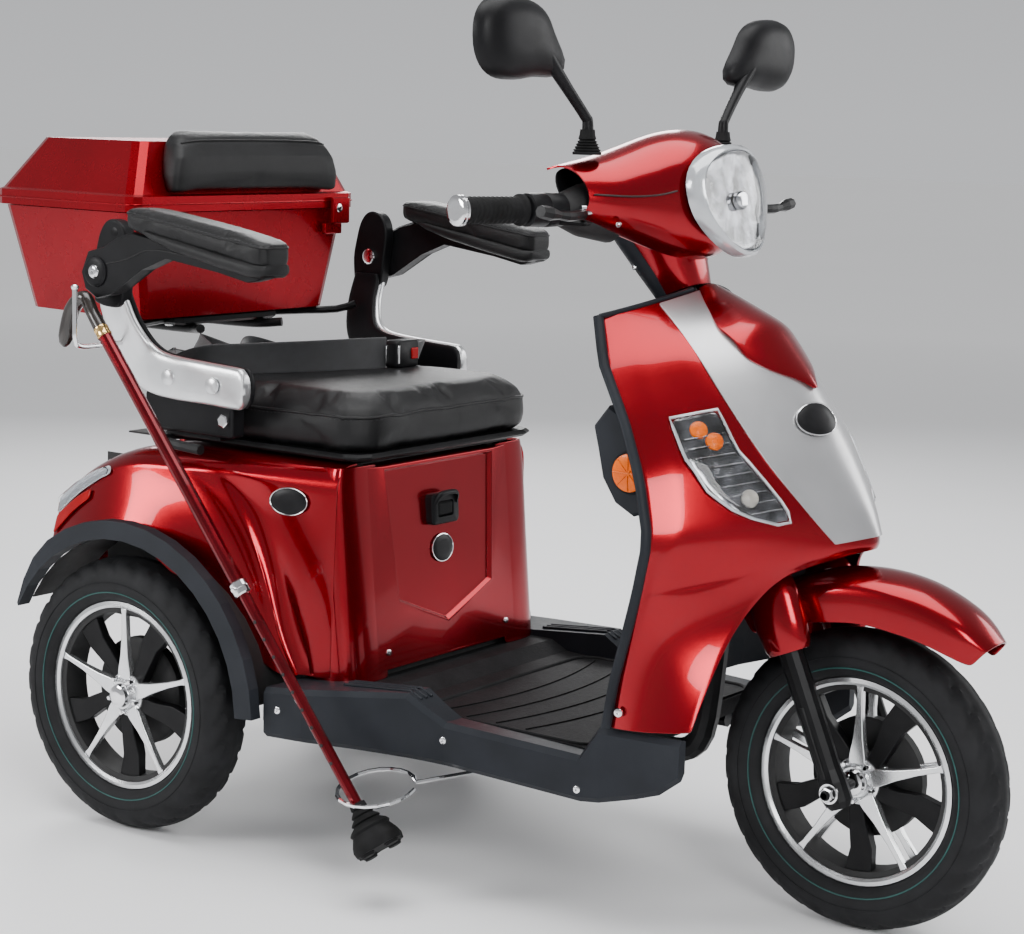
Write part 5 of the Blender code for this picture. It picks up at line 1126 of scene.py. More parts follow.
def build_seat_base():
    rows = [0.0, 0.08, 0.18, 0.215, 0.25, 0.36, 0.48, 0.60, 0.72, 0.84, 0.94, 0.99, 1.0]
    creases = [(0.055, 0.195), (0.120, 0.155)]
    for side, sign in SIDES:
        columns = [(x, 0.0, 0.0) for x in (-0.190, -0.186, -0.165, -0.13, -0.08, -0.03, 0.015)]
        for k, (x0, sweep) in enumerate(creases):
            depth = 0.0065
            columns += [(x0 - 0.006, sweep, -depth * k), (x0 + 0.006, sweep, -depth * (k + 1))]
            columns += [(x0 + 0.036, sweep, -depth * (k + 1) * 0.8)]
        columns += [(0.215, 0.075, -0.006), (0.300, 0.012, -0.001), (0.322, 0.0, 0.0), (0.328, 0.0, 0.0)]
        grid = []
        for x0, sweep, out in columns:
            line = []
            for f in rows:
                k = max(0.0, (f - 0.2) / 0.8)
                x = min(x0 + sweep * k ** 0.85, 0.328)
                fade = min(1.0, k * 6.0) * (1.0 if x < 0.31 else 0.3)
                p = fairing_point(x, f, out * fade)
                line.append((p.x, sign * p.y, p.z))
            grid.append(line)
        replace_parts(shell(f"side_fairing_skin_{side}", "red_paint", "chassis", grid, (0.05, 0, 0.40), 0.0035),
                    f"side_fairing_{side}")

        def on_side(a, b, c, s=sign):
            mid, fore, low = (fairing_point(x, f) for x, f in ((0.252, 0.30), (0.272, 0.30), (0.252, 0.40)))
            along, down = (fore - mid).normalized(), (low - mid).normalized()
            p = mid + along * a - down * b + along.cross(down).normalized() * (0.0010 + c)
            return Vector((p.x, s * p.y, p.z))

        badge(f"side_badge_{side}", "chassis", on_side, 0.031, 0.020)
        build_lamp(side, sign)
        build_well(side, sign)
        for k, (x, z) in enumerate(((0.300, 0.236), (0.785, 0.197), (0.560, 0.226))):
            outer = table(x,
                          [(0.276, 0.334), (0.36, 0.322), (0.46, 0.292), (0.55, 0.273), (0.80, 0.266),
                           (0.936, 0.252)])
            screw(f"sill_screw_{side}_{k}", "chassis", (x, sign * (outer - 0.0002), z), (0.1, sign, 0), 0.0058)
        for k, off in enumerate((-0.010, 0.002, 0.014)):
            path = [(x, sign * (0.2520 + off), table(x, [(0.34, 0.2715), (0.50, 0.286), (0.555, 0.252)]) + 0.0002)
                    for x in np.linspace(0.372, 0.515, 8)]
            swept(f"hump_rib_{side}_{k}", "slate_plastic", "chassis", path, 0.0024, 8)
    outline_out = [(-0.190, 0.580), (0.190, 0.580), (0.188, 0.372), (0.186, 0.274), (0, 0.274), (-0.186, 0.274),
                   (-0.188, 0.372)]
    hexagon = [(-0.136, 0.574), (0.136, 0.574), (0.117, 0.372), (0.062, 0.350), (0, 0.326), (-0.062, 0.350),
               (-0.117, 0.372)]

    def on_front(y, z, depth):
        return Vector((0.365 - 0.030 * (z - 0.27) / 0.31 + depth, y, z))

    def scaled(points, k, cy=0.0, cz=0.455):
        return [(cy + (y - cy) * k, cz + (z - cz) * k) for y, z in points]

    wide = [(-0.2250, 0.580), (0.2250, 0.580), (0.2250, 0.372), (0.2250, 0.274), (0, 0.274), (-0.2250, 0.274),
            (-0.2250, 0.372)]
    loops = [[on_front(y, z, -0.030 if abs(y) > 0.1 else -0.002) for y, z in wide],
             [on_front(y, z, -0.021 if abs(y) > 0.1 else -0.001) for y, z in outline_out],
             [on_front(y * 0.93, z, -0.0015) for y, z in outline_out],
             [on_front(y, z, 0.0) for y, z in scaled(hexagon, 1.03)], [on_front(y, z, 0.0005) for y, z in hexagon],
             [on_front(y, z, -0.0060) for y, z in scaled(hexagon, 0.965)],
             [on_front(y, z, -0.0062) for y, z in scaled(hexagon, 0.90)]]
    bm = bmesh.new()
    made = [[bm.verts.new(p) for p in loop] for loop in loops]
    bridge(bm, made, 7)
    bm.faces.new(made[-1])
    bm.normal_update()
    if bm.faces[:][-1].normal.x < 0:
        bmesh.ops.reverse_faces(bm, faces=bm.faces)
    panel = finish(bm, "front_panel_skin", "red_paint", "chassis", 30, recalc=False)
    soften(panel, 0.0035, 3, 12)
    modifier(panel, "SOLIDIFY", thickness=0.003, offset=-1.0)
    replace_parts(panel, "front_panel")
    grid = []
    for x in (-0.1895, -0.186, -0.165, -0.14, -0.115, -0.09, -0.065, -0.040, -0.020):
        rise = table(x, [(-0.19, 0.5105), (-0.14, 0.5450), (-0.09, 0.5695), (-0.04, 0.5850), (-0.02, 0.5880)])
        grid.append([(x, y, rise + 0.0035 * (1 - (y / 0.2) ** 2) * min(1.0, (x + 0.19) * 40)) for y in
                     (-0.188, -0.180, -0.10, 0, 0.10, 0.180, 0.188)])
    shell("rear_top_cover", "red_paint", "chassis", grid, (0.05, 0, 0.35), 0.003)
    for side, sign in SIDES:
        grid = []
        for z in (0.262, 0.268, 0.32, 0.38, 0.44, 0.50, 0.55, 0.578, 0.584):
            front = 0.3640 - 0.030 * (z - 0.27) / 0.31
            flank = 0.2365 + 0.0100 * max(0.0, (0.566 - z) / 0.2935) ** 1.2 - max(0.0, z - 0.566) * 0.45
            row = [(0.292, sign * (flank - 0.0035), z)]
            for a in np.linspace(0, math.pi / 2, 9):
                row.append((0.316 + (front - 0.316) * math.sin(a) ** 0.62,
                            sign * (0.171 + (flank + 0.0008 - 0.171) * math.cos(a) ** 0.62), z))
            row.append((front - 0.0030, sign * 0.150, z))
            grid.append(row)
        shell(f"base_corner_{side}", "red_paint", "chassis", grid, (0.10, 0, 0.42), 0.003)
    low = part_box("charge_flap")[0]
    x = low.x - SHIFT_X
    outline = rounded_rect(0, 0.500, 0.034, 0.0235, 0.007)
    inner = rounded_rect(0, 0.500, 0.0195, 0.0125, 0.004)
    loft("charge_socket", "black_plastic", "chassis",
         [[(x + d - 0.0010 * (z - 0.5) / 0.02, y, z) for y, z in line] for line, d in
          ((outline, -0.009), (outline, 0.0042), ([(y * 0.94, 0.5 + (z - 0.5) * 0.94) for y, z in outline], 0.0060),
           (inner, 0.0060),
           (inner, -0.009))], closed=True)
    swept("charge_hood", "black_plastic", "chassis",
          catmull([(x + 0.004, -0.029, 0.508), (x + 0.010, -0.022, 0.523), (x + 0.011, 0, 0.526),
                   (x + 0.010, 0.022, 0.523),
                   (x + 0.004, 0.029, 0.508)], 5), 0.0042, 8, 0.6)
    badge("front_badge", "chassis", lambda a, b, c: on_front(a, 0.438 + b, -0.0058 + c), 0.026, 0.021)
    for k, y in enumerate((-0.150, 0.150)):
        screw(f"panel_screw_{k}", "chassis", on_front(y, 0.300, -0.0008), (1, 0, 0.1), 0.0052)
    for k in range(4):
        path = [(x, y, DECK_Z + 0.0004) for x, y in
                ((0.500 + 0.052 * k + 0.030 * (1 - (u / 0.20) ** 2), u) for u in np.linspace(-0.205, 0.205, 21))]
        swept(f"deck_rib_{k}", "deck_rubber", "chassis", path, 0.0020, 8, 0.5)
    path = [(x, y, DECK_Z + 0.0008) for x, y in rounded_rect(0.623, 0, 0.155, 0.221, 0.03, 5)]
    swept("deck_border", "deck_rubber", "chassis", path, 0.0034, 8, 0.6, closed=True)
    rounded("battery_tray", "well_black", "chassis", (0.105, -0.150, 0.140), (0.372, 0.150, 0.186), 0.012, 4)
    for k, y in enumerate((-0.110, 0.110)):
        rounded(f"tray_strap_{k}", "black_steel", "chassis", (0.150, y - 0.012, 0.184), (0.174, y + 0.012, 0.2520),
                0.002)
        rounded(f"tray_strap_rear_{k}", "black_steel", "chassis", (0.290, y - 0.012, 0.184),
                (0.314, y + 0.012, 0.2520), 0.002)
    foot = on_front(0, 0.290, -0.012)
    rounded("base_skirt", "well_black", "chassis", (foot[0] - 0.016, -0.215, 0.2150),
            (foot[0] - 0.002, 0.215, 0.3000), 0.003)
    seat_bed = [[(x, y, 0.5885) for y in np.linspace(-0.184, 0.184, 5)] for x in np.linspace(-0.150, 0.330, 5)]
    shell("seat_bed", "well_black", "chassis", seat_bed, (0.1, 0, 0.3), 0.003, 0)


def build_rear():
    """Blank plate holder with its lamp, round reflectors and screws on the rear panel."""
    def on_panel(u, v, w):
        return (REAR_FACE_X - w, u, v)

    plate("rear_plate_frame", "slate_plastic", "chassis", rounded_rect(0, 0.392, 0.108, 0.064, 0.012), on_panel,
          0.0060)
    plate("rear_plate_blank", "silver_paint", "chassis", rounded_rect(0, 0.387, 0.096, 0.049, 0.006),
          lambda u, v, w: on_panel(u, v, w + 0.0055), 0.0016, 0.0004)
    rounded("rear_plate_lamp", "black_plastic", "chassis", (-0.2120, -0.032, 0.4580), (-0.1890, 0.032, 0.4720), 0.004)
    for side, sign in SIDES:
        mid = Vector((REAR_FACE_X, sign * 0.165, 0.395))
        turned(f"rear_reflector_{side}_cup", "black_plastic", "chassis", mid, mid + Vector((-0.0060, 0, 0)),
               [(0, 0.0270), (0.8, 0.0270), (1, 0.0255)], 36)
        turned(f"rear_reflector_{side}", "red_lens", "chassis", mid + Vector((-0.0055, 0, 0)),
               mid + Vector((-0.0085, 0, 0)),
               [(0, 0.0235), (0.7, 0.0235), (1, 0.0215)], 36)
        for k, z in enumerate((0.3250, 0.4780)):
            screw(f"rear_screw_{side}_{k}", "chassis", (-0.1905, sign * 0.200, z), (-1, 0, 0), 0.0055, "chrome",
                  0.0028)


def build_lamp(side, sign):
    """Tail lamp at the rear upper corner: clear over red, following the fairing."""
    for name, material, x1, f0, f1, lift, thick in (
            ("tail_tray", "lamp_rim", -0.070, 0.205, 0.385, 0.0030, 0.0018),
            ("tail_clear", "clear_lens", -0.074, 0.212, 0.378, 0.0058, 0.0018),
            ("tail_red", "red_lens", -0.108, 0.392, 0.60, 0.0050, 0.0030)):
        grid = []
        for x in np.linspace(-0.187, x1, 8):
            line = []
            for f in np.linspace(f0, f1, 5):
                taper = (x + 0.187) / (x1 + 0.187)
                p = fairing_point(x, f0 + (f - f0) * (1 - 0.45 * taper), lift)
                line.append((p.x, sign * (p.y + (lift if f < 0.22 else 0)), p.z))
            grid.append(line)
        shell(f"{name}_{side}", material, "chassis", grid, (0.05, 0, 0.40), thick, 1)
    rows = []
    for x in (-0.1893, -0.1905):
        rows.append([(x, sign * y, z) for y, z in rounded_rect(0.258, 0.440, 0.026, 0.038, 0.010)])
    soften(loft(f"tail_rear_{side}", "red_lens", "chassis", rows), 0.0005, 2)


def build_well(side, sign):
    """Dark liner inside each rear wheel arch."""
    grid = []
    for angle in np.linspace(4, 150, 15):
        a = math.radians(angle)
        grid.append([(0.2410 * math.cos(a), sign * y,
                      TYRE_R + 0.2410 * math.sin(a)) for y in (0.232, 0.262, 0.300, 0.3350)])
    shell(f"wheel_liner_{side}", "well_black", "chassis", grid, (0, sign * 0.28, 0.60), 0.0022, 0)
    rows = []
    for f in np.linspace(0, 1, 6):
        rows.append([(-0.150 + 0.42 * f, sign * 0.2305, z) for z in (0.300, 0.42, 0.56)])
    shell(f"wheel_wall_{side}", "well_black", "chassis", rows, (0, 0, 0.4), 0.0022, 0)


# ---------------------------------------------------------------- seat, armrests and belt
def brackets():
    """Bolts, spacers and hinge discs of the seat brackets and armrests."""
    for side, sign in SIDES:
        body = f"armrest_{side}"
        bracket_castings(side, sign)
        arm_shell(side, sign)
        pivot = Vector((ARM_PIVOT[0], sign * ARM_Y, ARM_PIVOT[1]))
        outer = pivot + Vector((0, sign * 0.0228, 0))
        turned(f"arm_disc_{side}", "black_plastic", body, outer, outer + Vector((0, sign * 0.0052, 0)),
               [(0, 0.0230), (0.5, 0.0230), (0.9, 0.0205), (0.95, 0.0150), (1, 0.0140)], 32)
        screw(f"arm_screw_{side}", body, outer + Vector((0, sign * 0.0050, 0)), (0, sign, 0), 0.0100, "chrome",
              0.0035)
        swept(f"arm_groove_{side}", "well_black", body,
              catmull([(x, sign * 0.3503, z) for x,
                       z in ((-0.030, 0.868), (0.010, 0.876), (0.060, 0.893), (0.120, 0.890),
                                                          (0.200, 0.878), (0.262, 0.868))], 5), 0.0012, 6)
        for k, (x, z) in enumerate(((0.030, 0.697), (0.120, 0.692))):
            centre = Vector((x, sign * 0.2795, z))
            turned(f"bracket_cap_{side}_{k}", "cast_silver", "seat", centre, centre + Vector((0, sign * 0.0045, 0)),
                   [(0, 0.0125), (0.6, 0.0125), (1, 0.0095)], 24)
        turned(f"bracket_bolt_{side}", "chrome", "seat", (0.136, sign * 0.2700, 0.6400),
               (0.136, sign * 0.2760, 0.6400),
               [(0, 0.0105), (0.8, 0.0105), (1, 0.0085)], 6, smooth=20)
        turned(f"knuckle_cap_{side}", "chrome", "seat", (-0.052, sign * 0.2985, 0.855),
               (-0.052, sign * 0.2930, 0.855),
               [(0, 0.0130), (0.7, 0.0130), (1, 0.0100)], 24)


BRACKET_ROUTE = [(0.1785, 0.264, 0.690, 0, 0.010), (0.1765, 0.264, 0.690, 0, 0.021), (0.171, 0.264, 0.690, 0, 0.028),
                 (0.160, 0.264, 0.690, 0, 0.0315), (0.100, 0.264, 0.693, 0, 0.032),
                 (0.040, 0.266, 0.696, 0.003, 0.033),
                 (0.000, 0.268, 0.702, 0.012, 0.032), (-0.030, 0.272, 0.718, 0.024, 0.026),
                 (-0.047, 0.280, 0.745, 0.031, 0.014),
                 (-0.055, 0.292, 0.780, 0.030, 0.004), (-0.056, 0.304, 0.812, 0.028, 0.0),
                 (-0.056, 0.306, 0.826, 0.024, 0.0)]


def bracket_band(name, material, side, sign, inner, outer, size):
    """A rounded band following the seat bracket, between two offsets across."""
    loops = []
    for x, y, z, dx, dz in catmull(BRACKET_ROUTE, 4):
        loop = []
        for a in around(24):
            c, s = math.cos(a), math.sin(a)
            c, s = math.copysign(abs(c) ** 0.55, c), math.copysign(abs(s) ** 0.55, s)
            loop.append((x + dx * size * c, sign * (y + (inner + outer) / 2 + (outer - inner) / 2 * s),
                         z + dz * size * c))
        loops.append(loop)
    return loft(f"{name}_{side}", material, "seat", loops, smooth=50)


def bracket_castings(side, sign):
    """Bright outer casting, dark inner liner, hinge ear and spacer of one seat bracket."""
    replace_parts(bracket_band("bracket_casting", "cast_silver", side, sign, -0.005, 0.0140, 1.0),
                f"seat_bracket_{side}")
    bracket_band("bracket_liner", "black_plastic", side, sign, -0.0145, -0.0045, 0.97)
    ear = [(-0.086, 0.806), (-0.060, 0.800), (-0.030, 0.806), (-0.022, 0.856), (-0.017, 0.895), (-0.025, 0.921),
           (-0.043, 0.932), (-0.061, 0.929), (-0.075, 0.911), (-0.084, 0.880), (-0.089, 0.850)]
    ear = catmull([(x, 0, z) for x, z in ear + ear[:1]], 4)[:-1]
    loops = [[(x, sign * y, z) for x, _, z in ear] for y in (0.2985, 0.3205)]
    soften(loft(f"bracket_ear_{side}", "black_plastic", "seat", loops, smooth=50), 0.003, 3, 50)
    turned(f"ear_bolt_{side}", "black_steel", "seat", (-0.044, sign * 0.3190, 0.913), (-0.044, sign * 0.3212, 0.913),
           [(0, 0.0080), (0.7, 0.0080), (1, 0.0060)], 20)
    rounded(f"bracket_spacer_{side}", "black_plastic", "seat", *sorted_box((-0.030, sign * 0.2385, 0.6130),
                                                                          (0.150, sign * 0.2695, 0.6720)), 0.006)
    rounded(f"bracket_foot_{side}", "black_steel", "seat", *sorted_box((0.010, sign * 0.2360, 0.6060),
                                                                      (0.120, sign * 0.2640, 0.6160)), 0.003)


def arm_shell(side, sign):
    """Wrapped base under an armrest pad, hiding the front of the arm."""
    loops = []
    for x, depth, half in ((0.050, 0.004, 0.029), (0.070, 0.010, 0.0330), (0.120, 0.0165, 0.0350),
                           (0.200, 0.0205, 0.0352),
                           (0.262, 0.0215, 0.0350), (0.279, 0.0190, 0.0325), (0.288, 0.0130, 0.0260)):
        f = (x - 0.012) / 0.279
        top = 0.9275 - 0.0455 * f
        loops.append([(x, sign * y, z) for y, z in rounded_rect(ARM_Y, top - depth / 2, half, depth / 2 + 0.001,
                                                                min(0.012, depth / 2), 4)])
    loft(f"arm_shell_{side}", "leather", f"armrest_{side}", loops, smooth=60)


def sorted_box(a, b):
    return tuple(min(p, q) for p, q in zip(a, b)), tuple(max(p, q) for p, q in zip(a, b))


def closed_solid(name, loops, body):
    return loft(name, "leather", body, loops, smooth=180)


def inflate(obj, voxel, pressure, cap):
    """Puffs a closed pad like stuffed leatherette, then keeps the result as its mesh."""
    modifier(obj, "REMESH", mode="VOXEL", voxel_size=voxel, use_smooth_shade=True)
    apply_all(obj)
    mesh = obj.data
    start = np.empty(len(mesh.vertices) * 3)
    mesh.vertices.foreach_get("co", start)
    start = start.reshape(-1, 3)
    cloth = obj.modifiers.new("cloth", "CLOTH")
    settings = cloth.settings
    settings.quality = CLOTH_QUALITY
    settings.mass = CLOTH_MASS
    settings.tension_stiffness = CLOTH_STRETCH
    settings.compression_stiffness = CLOTH_STRETCH
    settings.bending_stiffness = CLOTH_BENDING
    settings.use_pressure = True
    settings.uniform_pressure_force = pressure
    settings.effector_weights.gravity = 0.0
    cloth.point_cache.frame_start = 1
    cloth.point_cache.frame_end = CLOTH_FRAMES
    scene = bpy.context.scene
    for step in range(1, CLOTH_FRAMES + 1):
        scene.frame_set(step)
    evaluated = obj.evaluated_get(bpy.context.evaluated_depsgraph_get())
    moved = np.empty(len(mesh.vertices) * 3)
    evaluated.data.vertices.foreach_get("co", moved)
    moved = moved.reshape(-1, 3) - start
    obj.modifiers.remove(cloth)
    scene.frame_set(1)
    length = np.maximum(np.linalg.norm(moved, axis=1, keepdims=True), 1e-9)
    moved *= np.minimum(1.0, cap / length)
    mesh.vertices.foreach_set("co", (start + moved).ravel())
    mesh.update()
    obj.data.shade_smooth()
    subdivided(obj, 1)
    return obj


def apply_all(obj):
    dg = bpy.context.evaluated_depsgraph_get()
    made = bpy.data.meshes.new_from_object(obj.evaluated_get(dg))
    obj.modifiers.clear()
    old = obj.data
    obj.data = made
    bpy.data.meshes.remove(old)


def press(obj, lines, depth, width):
    """Sinks sewn seams into a pad: lines are lists of row-frame points."""
    mesh = obj.data
    co = np.empty(len(mesh.vertices) * 3)
    mesh.vertices.foreach_get("co", co)
    co = co.reshape(-1, 3)
    normals = np.empty(len(mesh.vertices) * 3)
    mesh.vertices.foreach_get("normal", normals)
    normals = normals.reshape(-1, 3)
    near = np.full(len(co), 1e9)
    for line in lines:
        pts = np.array([tuple(p) for p in line])
        for a, b in zip(pts, pts[1:]):
            ab = b - a
            t = np.clip(((co - a) @ ab) / (ab @ ab), 0, 1)
            near = np.minimum(near, np.linalg.norm(co - (a + t[:, None] * ab), axis=1))
    co -= normals * (depth * np.exp(-(near / width) ** 2))[:, None]
    mesh.vertices.foreach_set("co", co.ravel())
    mesh.update()


def stitches(name, body, path, length=0.0045, gap=0.0035):
    """A row of short sewn threads along a path."""
    path = [Vector(p) for p in path]
    bm = bmesh.new()
    travelled, nxt = 0.0, 0.0
    for a, b in zip(path, path[1:]):
        seg = (b - a).length
        if seg < 1e-6:
            continue
        d = (b - a) / seg
        x, y, z = frame_of(d)
        while nxt <= travelled + seg:
            p = a + d * (nxt - travelled)
            rows = []
            for f, r in ((0, 0.0003), (0.3, 0.0006), (0.7, 0.0006), (1, 0.0003)):
                q = p + d * (length * f)
                rows.append([bm.verts.new(q + x * (r * math.cos(t)) + y * (r * math.sin(t)))
                             for t in (0, 2.094, 4.189)])
            bridge(bm, rows, 3)
            bm.faces.new(rows[0])
            bm.faces.new(rows[-1])
            nxt += length + gap
        travelled += seg
    return finish(bm, name, "thread", body, 60)


def build_seat_cushion():
    loops = []
    for z, inset, radius in ((0.6065, 0.016, 0.055), (0.612, 0.006, 0.060), (0.630, 0.002, 0.065),
                             (0.655, 0.004, 0.065),
                             (0.670, 0.012, 0.065), (0.678, 0.026, 0.060), (0.681, 0.050, 0.050)):
        loops.append([(x, y, z) for x, y in rounded_rect(0.161, 0, 0.211 - inset, 0.235 - inset, radius, 6)])
    cushion = closed_solid("seat_cushion_pad", loops, "seat")
    inflate(cushion, 0.0058, 4.2, 0.012)
    seam = [at(p) for p in [(x, y, 0.6635) for x, y in rounded_rect(0.161, 0, 0.211, 0.235, 0.065, 8)]]
    lower = [at(p) for p in [(x, y, 0.6180) for x, y in rounded_rect(0.161, 0, 0.211, 0.235, 0.060, 8)]]
    press(cushion, [seam + seam[:1], lower + lower[:1]], 0.0026, 0.0042)
    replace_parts(cushion, "seat_cushion")
    hug(cushion, "seat_piping", "seat", [(x, y, 0.6640) for x, y in rounded_rect(0.161, 0, 0.211, 0.235, 0.065, 10)],
        0.0024)
    outline = [(x, y, 0.6575) for x, y in rounded_rect(0.161, 0, 0.211, 0.235, 0.065, 10)]
    hug_stitches(cushion, "seat_stitches", "seat", outline)


def nearest(obj, point):
    """Closest point of a finished pad, in scooter coordinates, and its normal."""
    evaluated = obj.evaluated_get(bpy.context.evaluated_depsgraph_get())
    hit, place, normal, _ = evaluated.closest_point_on_mesh(at(point))
    return (Vector(place) - Vector((SHIFT_X, 0, 0)), Vector(normal)) if hit else (Vector(point), Vector((0, 0, 1)))


def hug(obj, name, body, path, radius, material="leather"):
    pts = []
    for p in dense(path, 0.010):
        place, normal = nearest(obj, p)
        pts.append(place + normal * (radius * 0.25))
    piece = swept(name, material, body, pts, radius, 8, closed=True)
    return piece


def hug_stitches(obj, name, body, path):
    pts = []
    for p in dense(path, 0.008):
        place, normal = nearest(obj, p)
        pts.append(place + normal * 0.0004)
    return stitches(name, body, pts + pts[:1])


def dense(path, step):
    """Points every step along a closed path."""
    path = [Vector(p) for p in path]
    out = []
    for a, b in zip(path, path[1:] + path[:1]):
        n = max(1, round((b - a).length / step))
        out += [a.lerp(b, k / n) for k in range(n)]
    return out


def build_armrest_pads():
    for side, sign in SIDES:
        loops = []
        for x, grow, drop in ((0.0135, -0.014, 0.004), (0.018, -0.006, 0.001), (0.030, -0.001, 0.0), (0.10, 0, 0),
                              (0.19, 0, 0),
                              (0.270, -0.001, 0), (0.283, -0.005, 0.001), (0.2895, -0.014, 0.004)):
            f = (x - 0.012) / 0.279
            low_z = max(0.9221 - 0.0455 * f, 0.9191 - 0.1680 * (x - 0.022)) + 0.001
            high_z = 0.9545 - 0.040 * f
            loops.append([(x, sign * y, z) for y, z in rounded_rect(ARM_Y, (low_z + high_z) / 2, 0.0350 + grow,
                                                                    (high_z - low_z) / 2 - drop, 0.009, 3)])
        pad = closed_solid(f"armrest_pad_cover_{side}", loops, f"armrest_{side}")
        inflate(pad, 0.0042, 4.0, 0.005)
        outline = []
        for x, y in rounded_rect(0.1515, ARM_Y, 0.1395, 0.0355, 0.014, 6):
            f = (x - 0.012) / 0.279
            outline.append((x, sign * y, 0.9475 - 0.0400 * f))
        press(pad, [[at(p) for p in outline + outline[:1]]], 0.0016, 0.0026)
        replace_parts(pad, f"armrest_pad_{side}")
        hug(pad, f"armrest_piping_{side}", f"armrest_{side}", outline, 0.0016)
        top = [(x, y, z + 0.0035) for x, y, z in outline]
        hug_stitches(pad, f"armrest_stitches_{side}", f"armrest_{side}", top)


def build_backrest():
    loops = []
    for z, front, back, half in ((0.9712, -0.0420, -0.0640, 0.193), (0.976, -0.0385, -0.0655, 0.197),
                                 (1.000, -0.0370, -0.0750, 0.196), (1.025, -0.0395, -0.0830, 0.188),
                                 (1.045, -0.0480, -0.0905, 0.177), (1.058, -0.0600, -0.0950, 0.164),
                                 (1.0655, -0.0740, -0.0972, 0.148)):
        rows = []
        for x, y in rounded_rect((front + back) / 2, 0, (front - back) / 2, half,
                                 min(0.012, (front - back) / 2 - 0.0008), 4):
            rows.append((x, y, z))
        loops.append(rows)
    pad = closed_solid("backrest_cover", loops, "lid")
    inflate(pad, 0.0050, 4.0, 0.0040)
    seam = []
    for y in np.linspace(-0.170, 0.170, 25):
        seam.append((-0.050, y, 1.0475 + 0.004 * (1 - (y / 0.17) ** 2)))
    press(pad, [[at(p) for p in seam]], 0.0020, 0.0032)
    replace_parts(pad, "backrest_pad")
    pts = []
    for p in seam:
        place, normal = nearest(pad, p)
        pts.append(place + normal * 0.0006)
    swept("backrest_piping", "leather", "lid", pts, 0.0016, 8)
    stitches("backrest_stitches", "lid", [p + Vector((0.0018, 0, -0.0055)) for p in pts])


def belt_band(name, body, path, width, thick, lean=0.0, material="webbing"):
    """Webbing along a path, standing on its edge or lying flat as lean says, with sewn borders."""
    path = [Vector(p) for p in path]
    bm = bmesh.new()
    rows = []
    for i, p in enumerate(path):
        ahead = (path[min(i + 1, len(path) - 1)] - path[max(i - 1, 0)]).normalized()
        tilt = lean[i] if hasattr(lean, "__len__") else lean
        up = Vector((0, 0, 1))
        side = ahead.cross(up).normalized()
        wide = (up * math.cos(tilt) + side * math.sin(tilt)).normalized()
        out = ahead.cross(wide).normalized()
        half = [(-1, 0.3), (-0.94, 1), (-0.86, 0.72), (0.86, 0.72), (0.94, 1), (1, 0.3)]
        loop = [p + wide * (width / 2 * w) + out * (thick / 2 * t) for w, t in half]
        loop += [p + wide * (width / 2 * w) - out * (thick / 2 * t) for w, t in reversed(half)]
        rows.append([bm.verts.new(q) for q in loop])
    n = len(rows[0])
    bridge(bm, rows, n)
    bm.faces.new(rows[0])
    bm.faces.new(rows[-1])
    return finish(bm, name, material, body, 50)


def build_belt():
    path = catmull([(-0.020, -0.228, 0.706), (0.010, -0.205, 0.7145), (0.050, -0.150, 0.7165),
                    (0.100, -0.060, 0.7185),
                    (0.128, 0.020, 0.7185), (0.146, 0.100, 0.7170)], 8)
    n = len(path)
    lean = [1.15 * (1 - min(1.0, i / (0.3 * n))) + 0.22 * math.sin(3.2 * i / n) for i in range(n)]
    band = belt_band("lap_belt_band", "seat", path, 0.052, WEBBING_THICK, lean)
    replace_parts(band, "lap_belt")
    slack = catmull([(-0.020, -0.226, 0.700), (-0.060, -0.190, 0.722), (-0.020, -0.150, 0.716),
                     (-0.072, -0.110, 0.728),
                     (-0.030, -0.060, 0.706), (-0.060, 0.000, 0.716), (-0.035, 0.070, 0.702), (-0.052, 0.150, 0.710),
                     (-0.030, 0.222, 0.702)], 7)
    m = len(slack)
    belt_band("rear_strap", "seat", slack, 0.040, WEBBING_THICK,
              [0.5 + 0.7 * math.sin(9.0 * i / m) for i in range(m)])
    loops = []
    for x, k in ((0.1375, 0.90), (0.1395, 0.98), (0.1450, 1.0), (0.1575, 1.0), (0.1620, 0.97), (0.1642, 0.88)):
        loops.append([(x, 0.1355 + (y - 0.1355) * k, 0.7150 + (z - 0.7150) * k)
                      for y, z in rounded_rect(0.1355, 0.7150, 0.0295, 0.0225, 0.007, 5)])
    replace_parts(loft("belt_buckle_case", "black_plastic", "seat", loops, smooth=45), "belt_buckle")
    rounded("belt_button", "red_lens", "seat", (0.1635, 0.1430, 0.7060), (0.1662, 0.1600, 0.7240), 0.0015)
    rounded("belt_buckle_strip", "chrome", "seat", (0.1632, 0.1080, 0.7000), (0.1655, 0.1130, 0.7300), 0.001)
    rounded("belt_tongue", "chrome", "seat", (0.1480, 0.0960, 0.7010), (0.1500, 0.1075, 0.7290), 0.0008)
    tail = catmull([(0.151, 0.165, 0.712), (0.146, 0.192, 0.7145), (0.120, 0.214, 0.7120), (0.080, 0.226, 0.706),
                    (0.050, 0.233, 0.700)], 7)
    belt_band("belt_tail", "seat", tail, 0.040, WEBBING_THICK, 0.35)


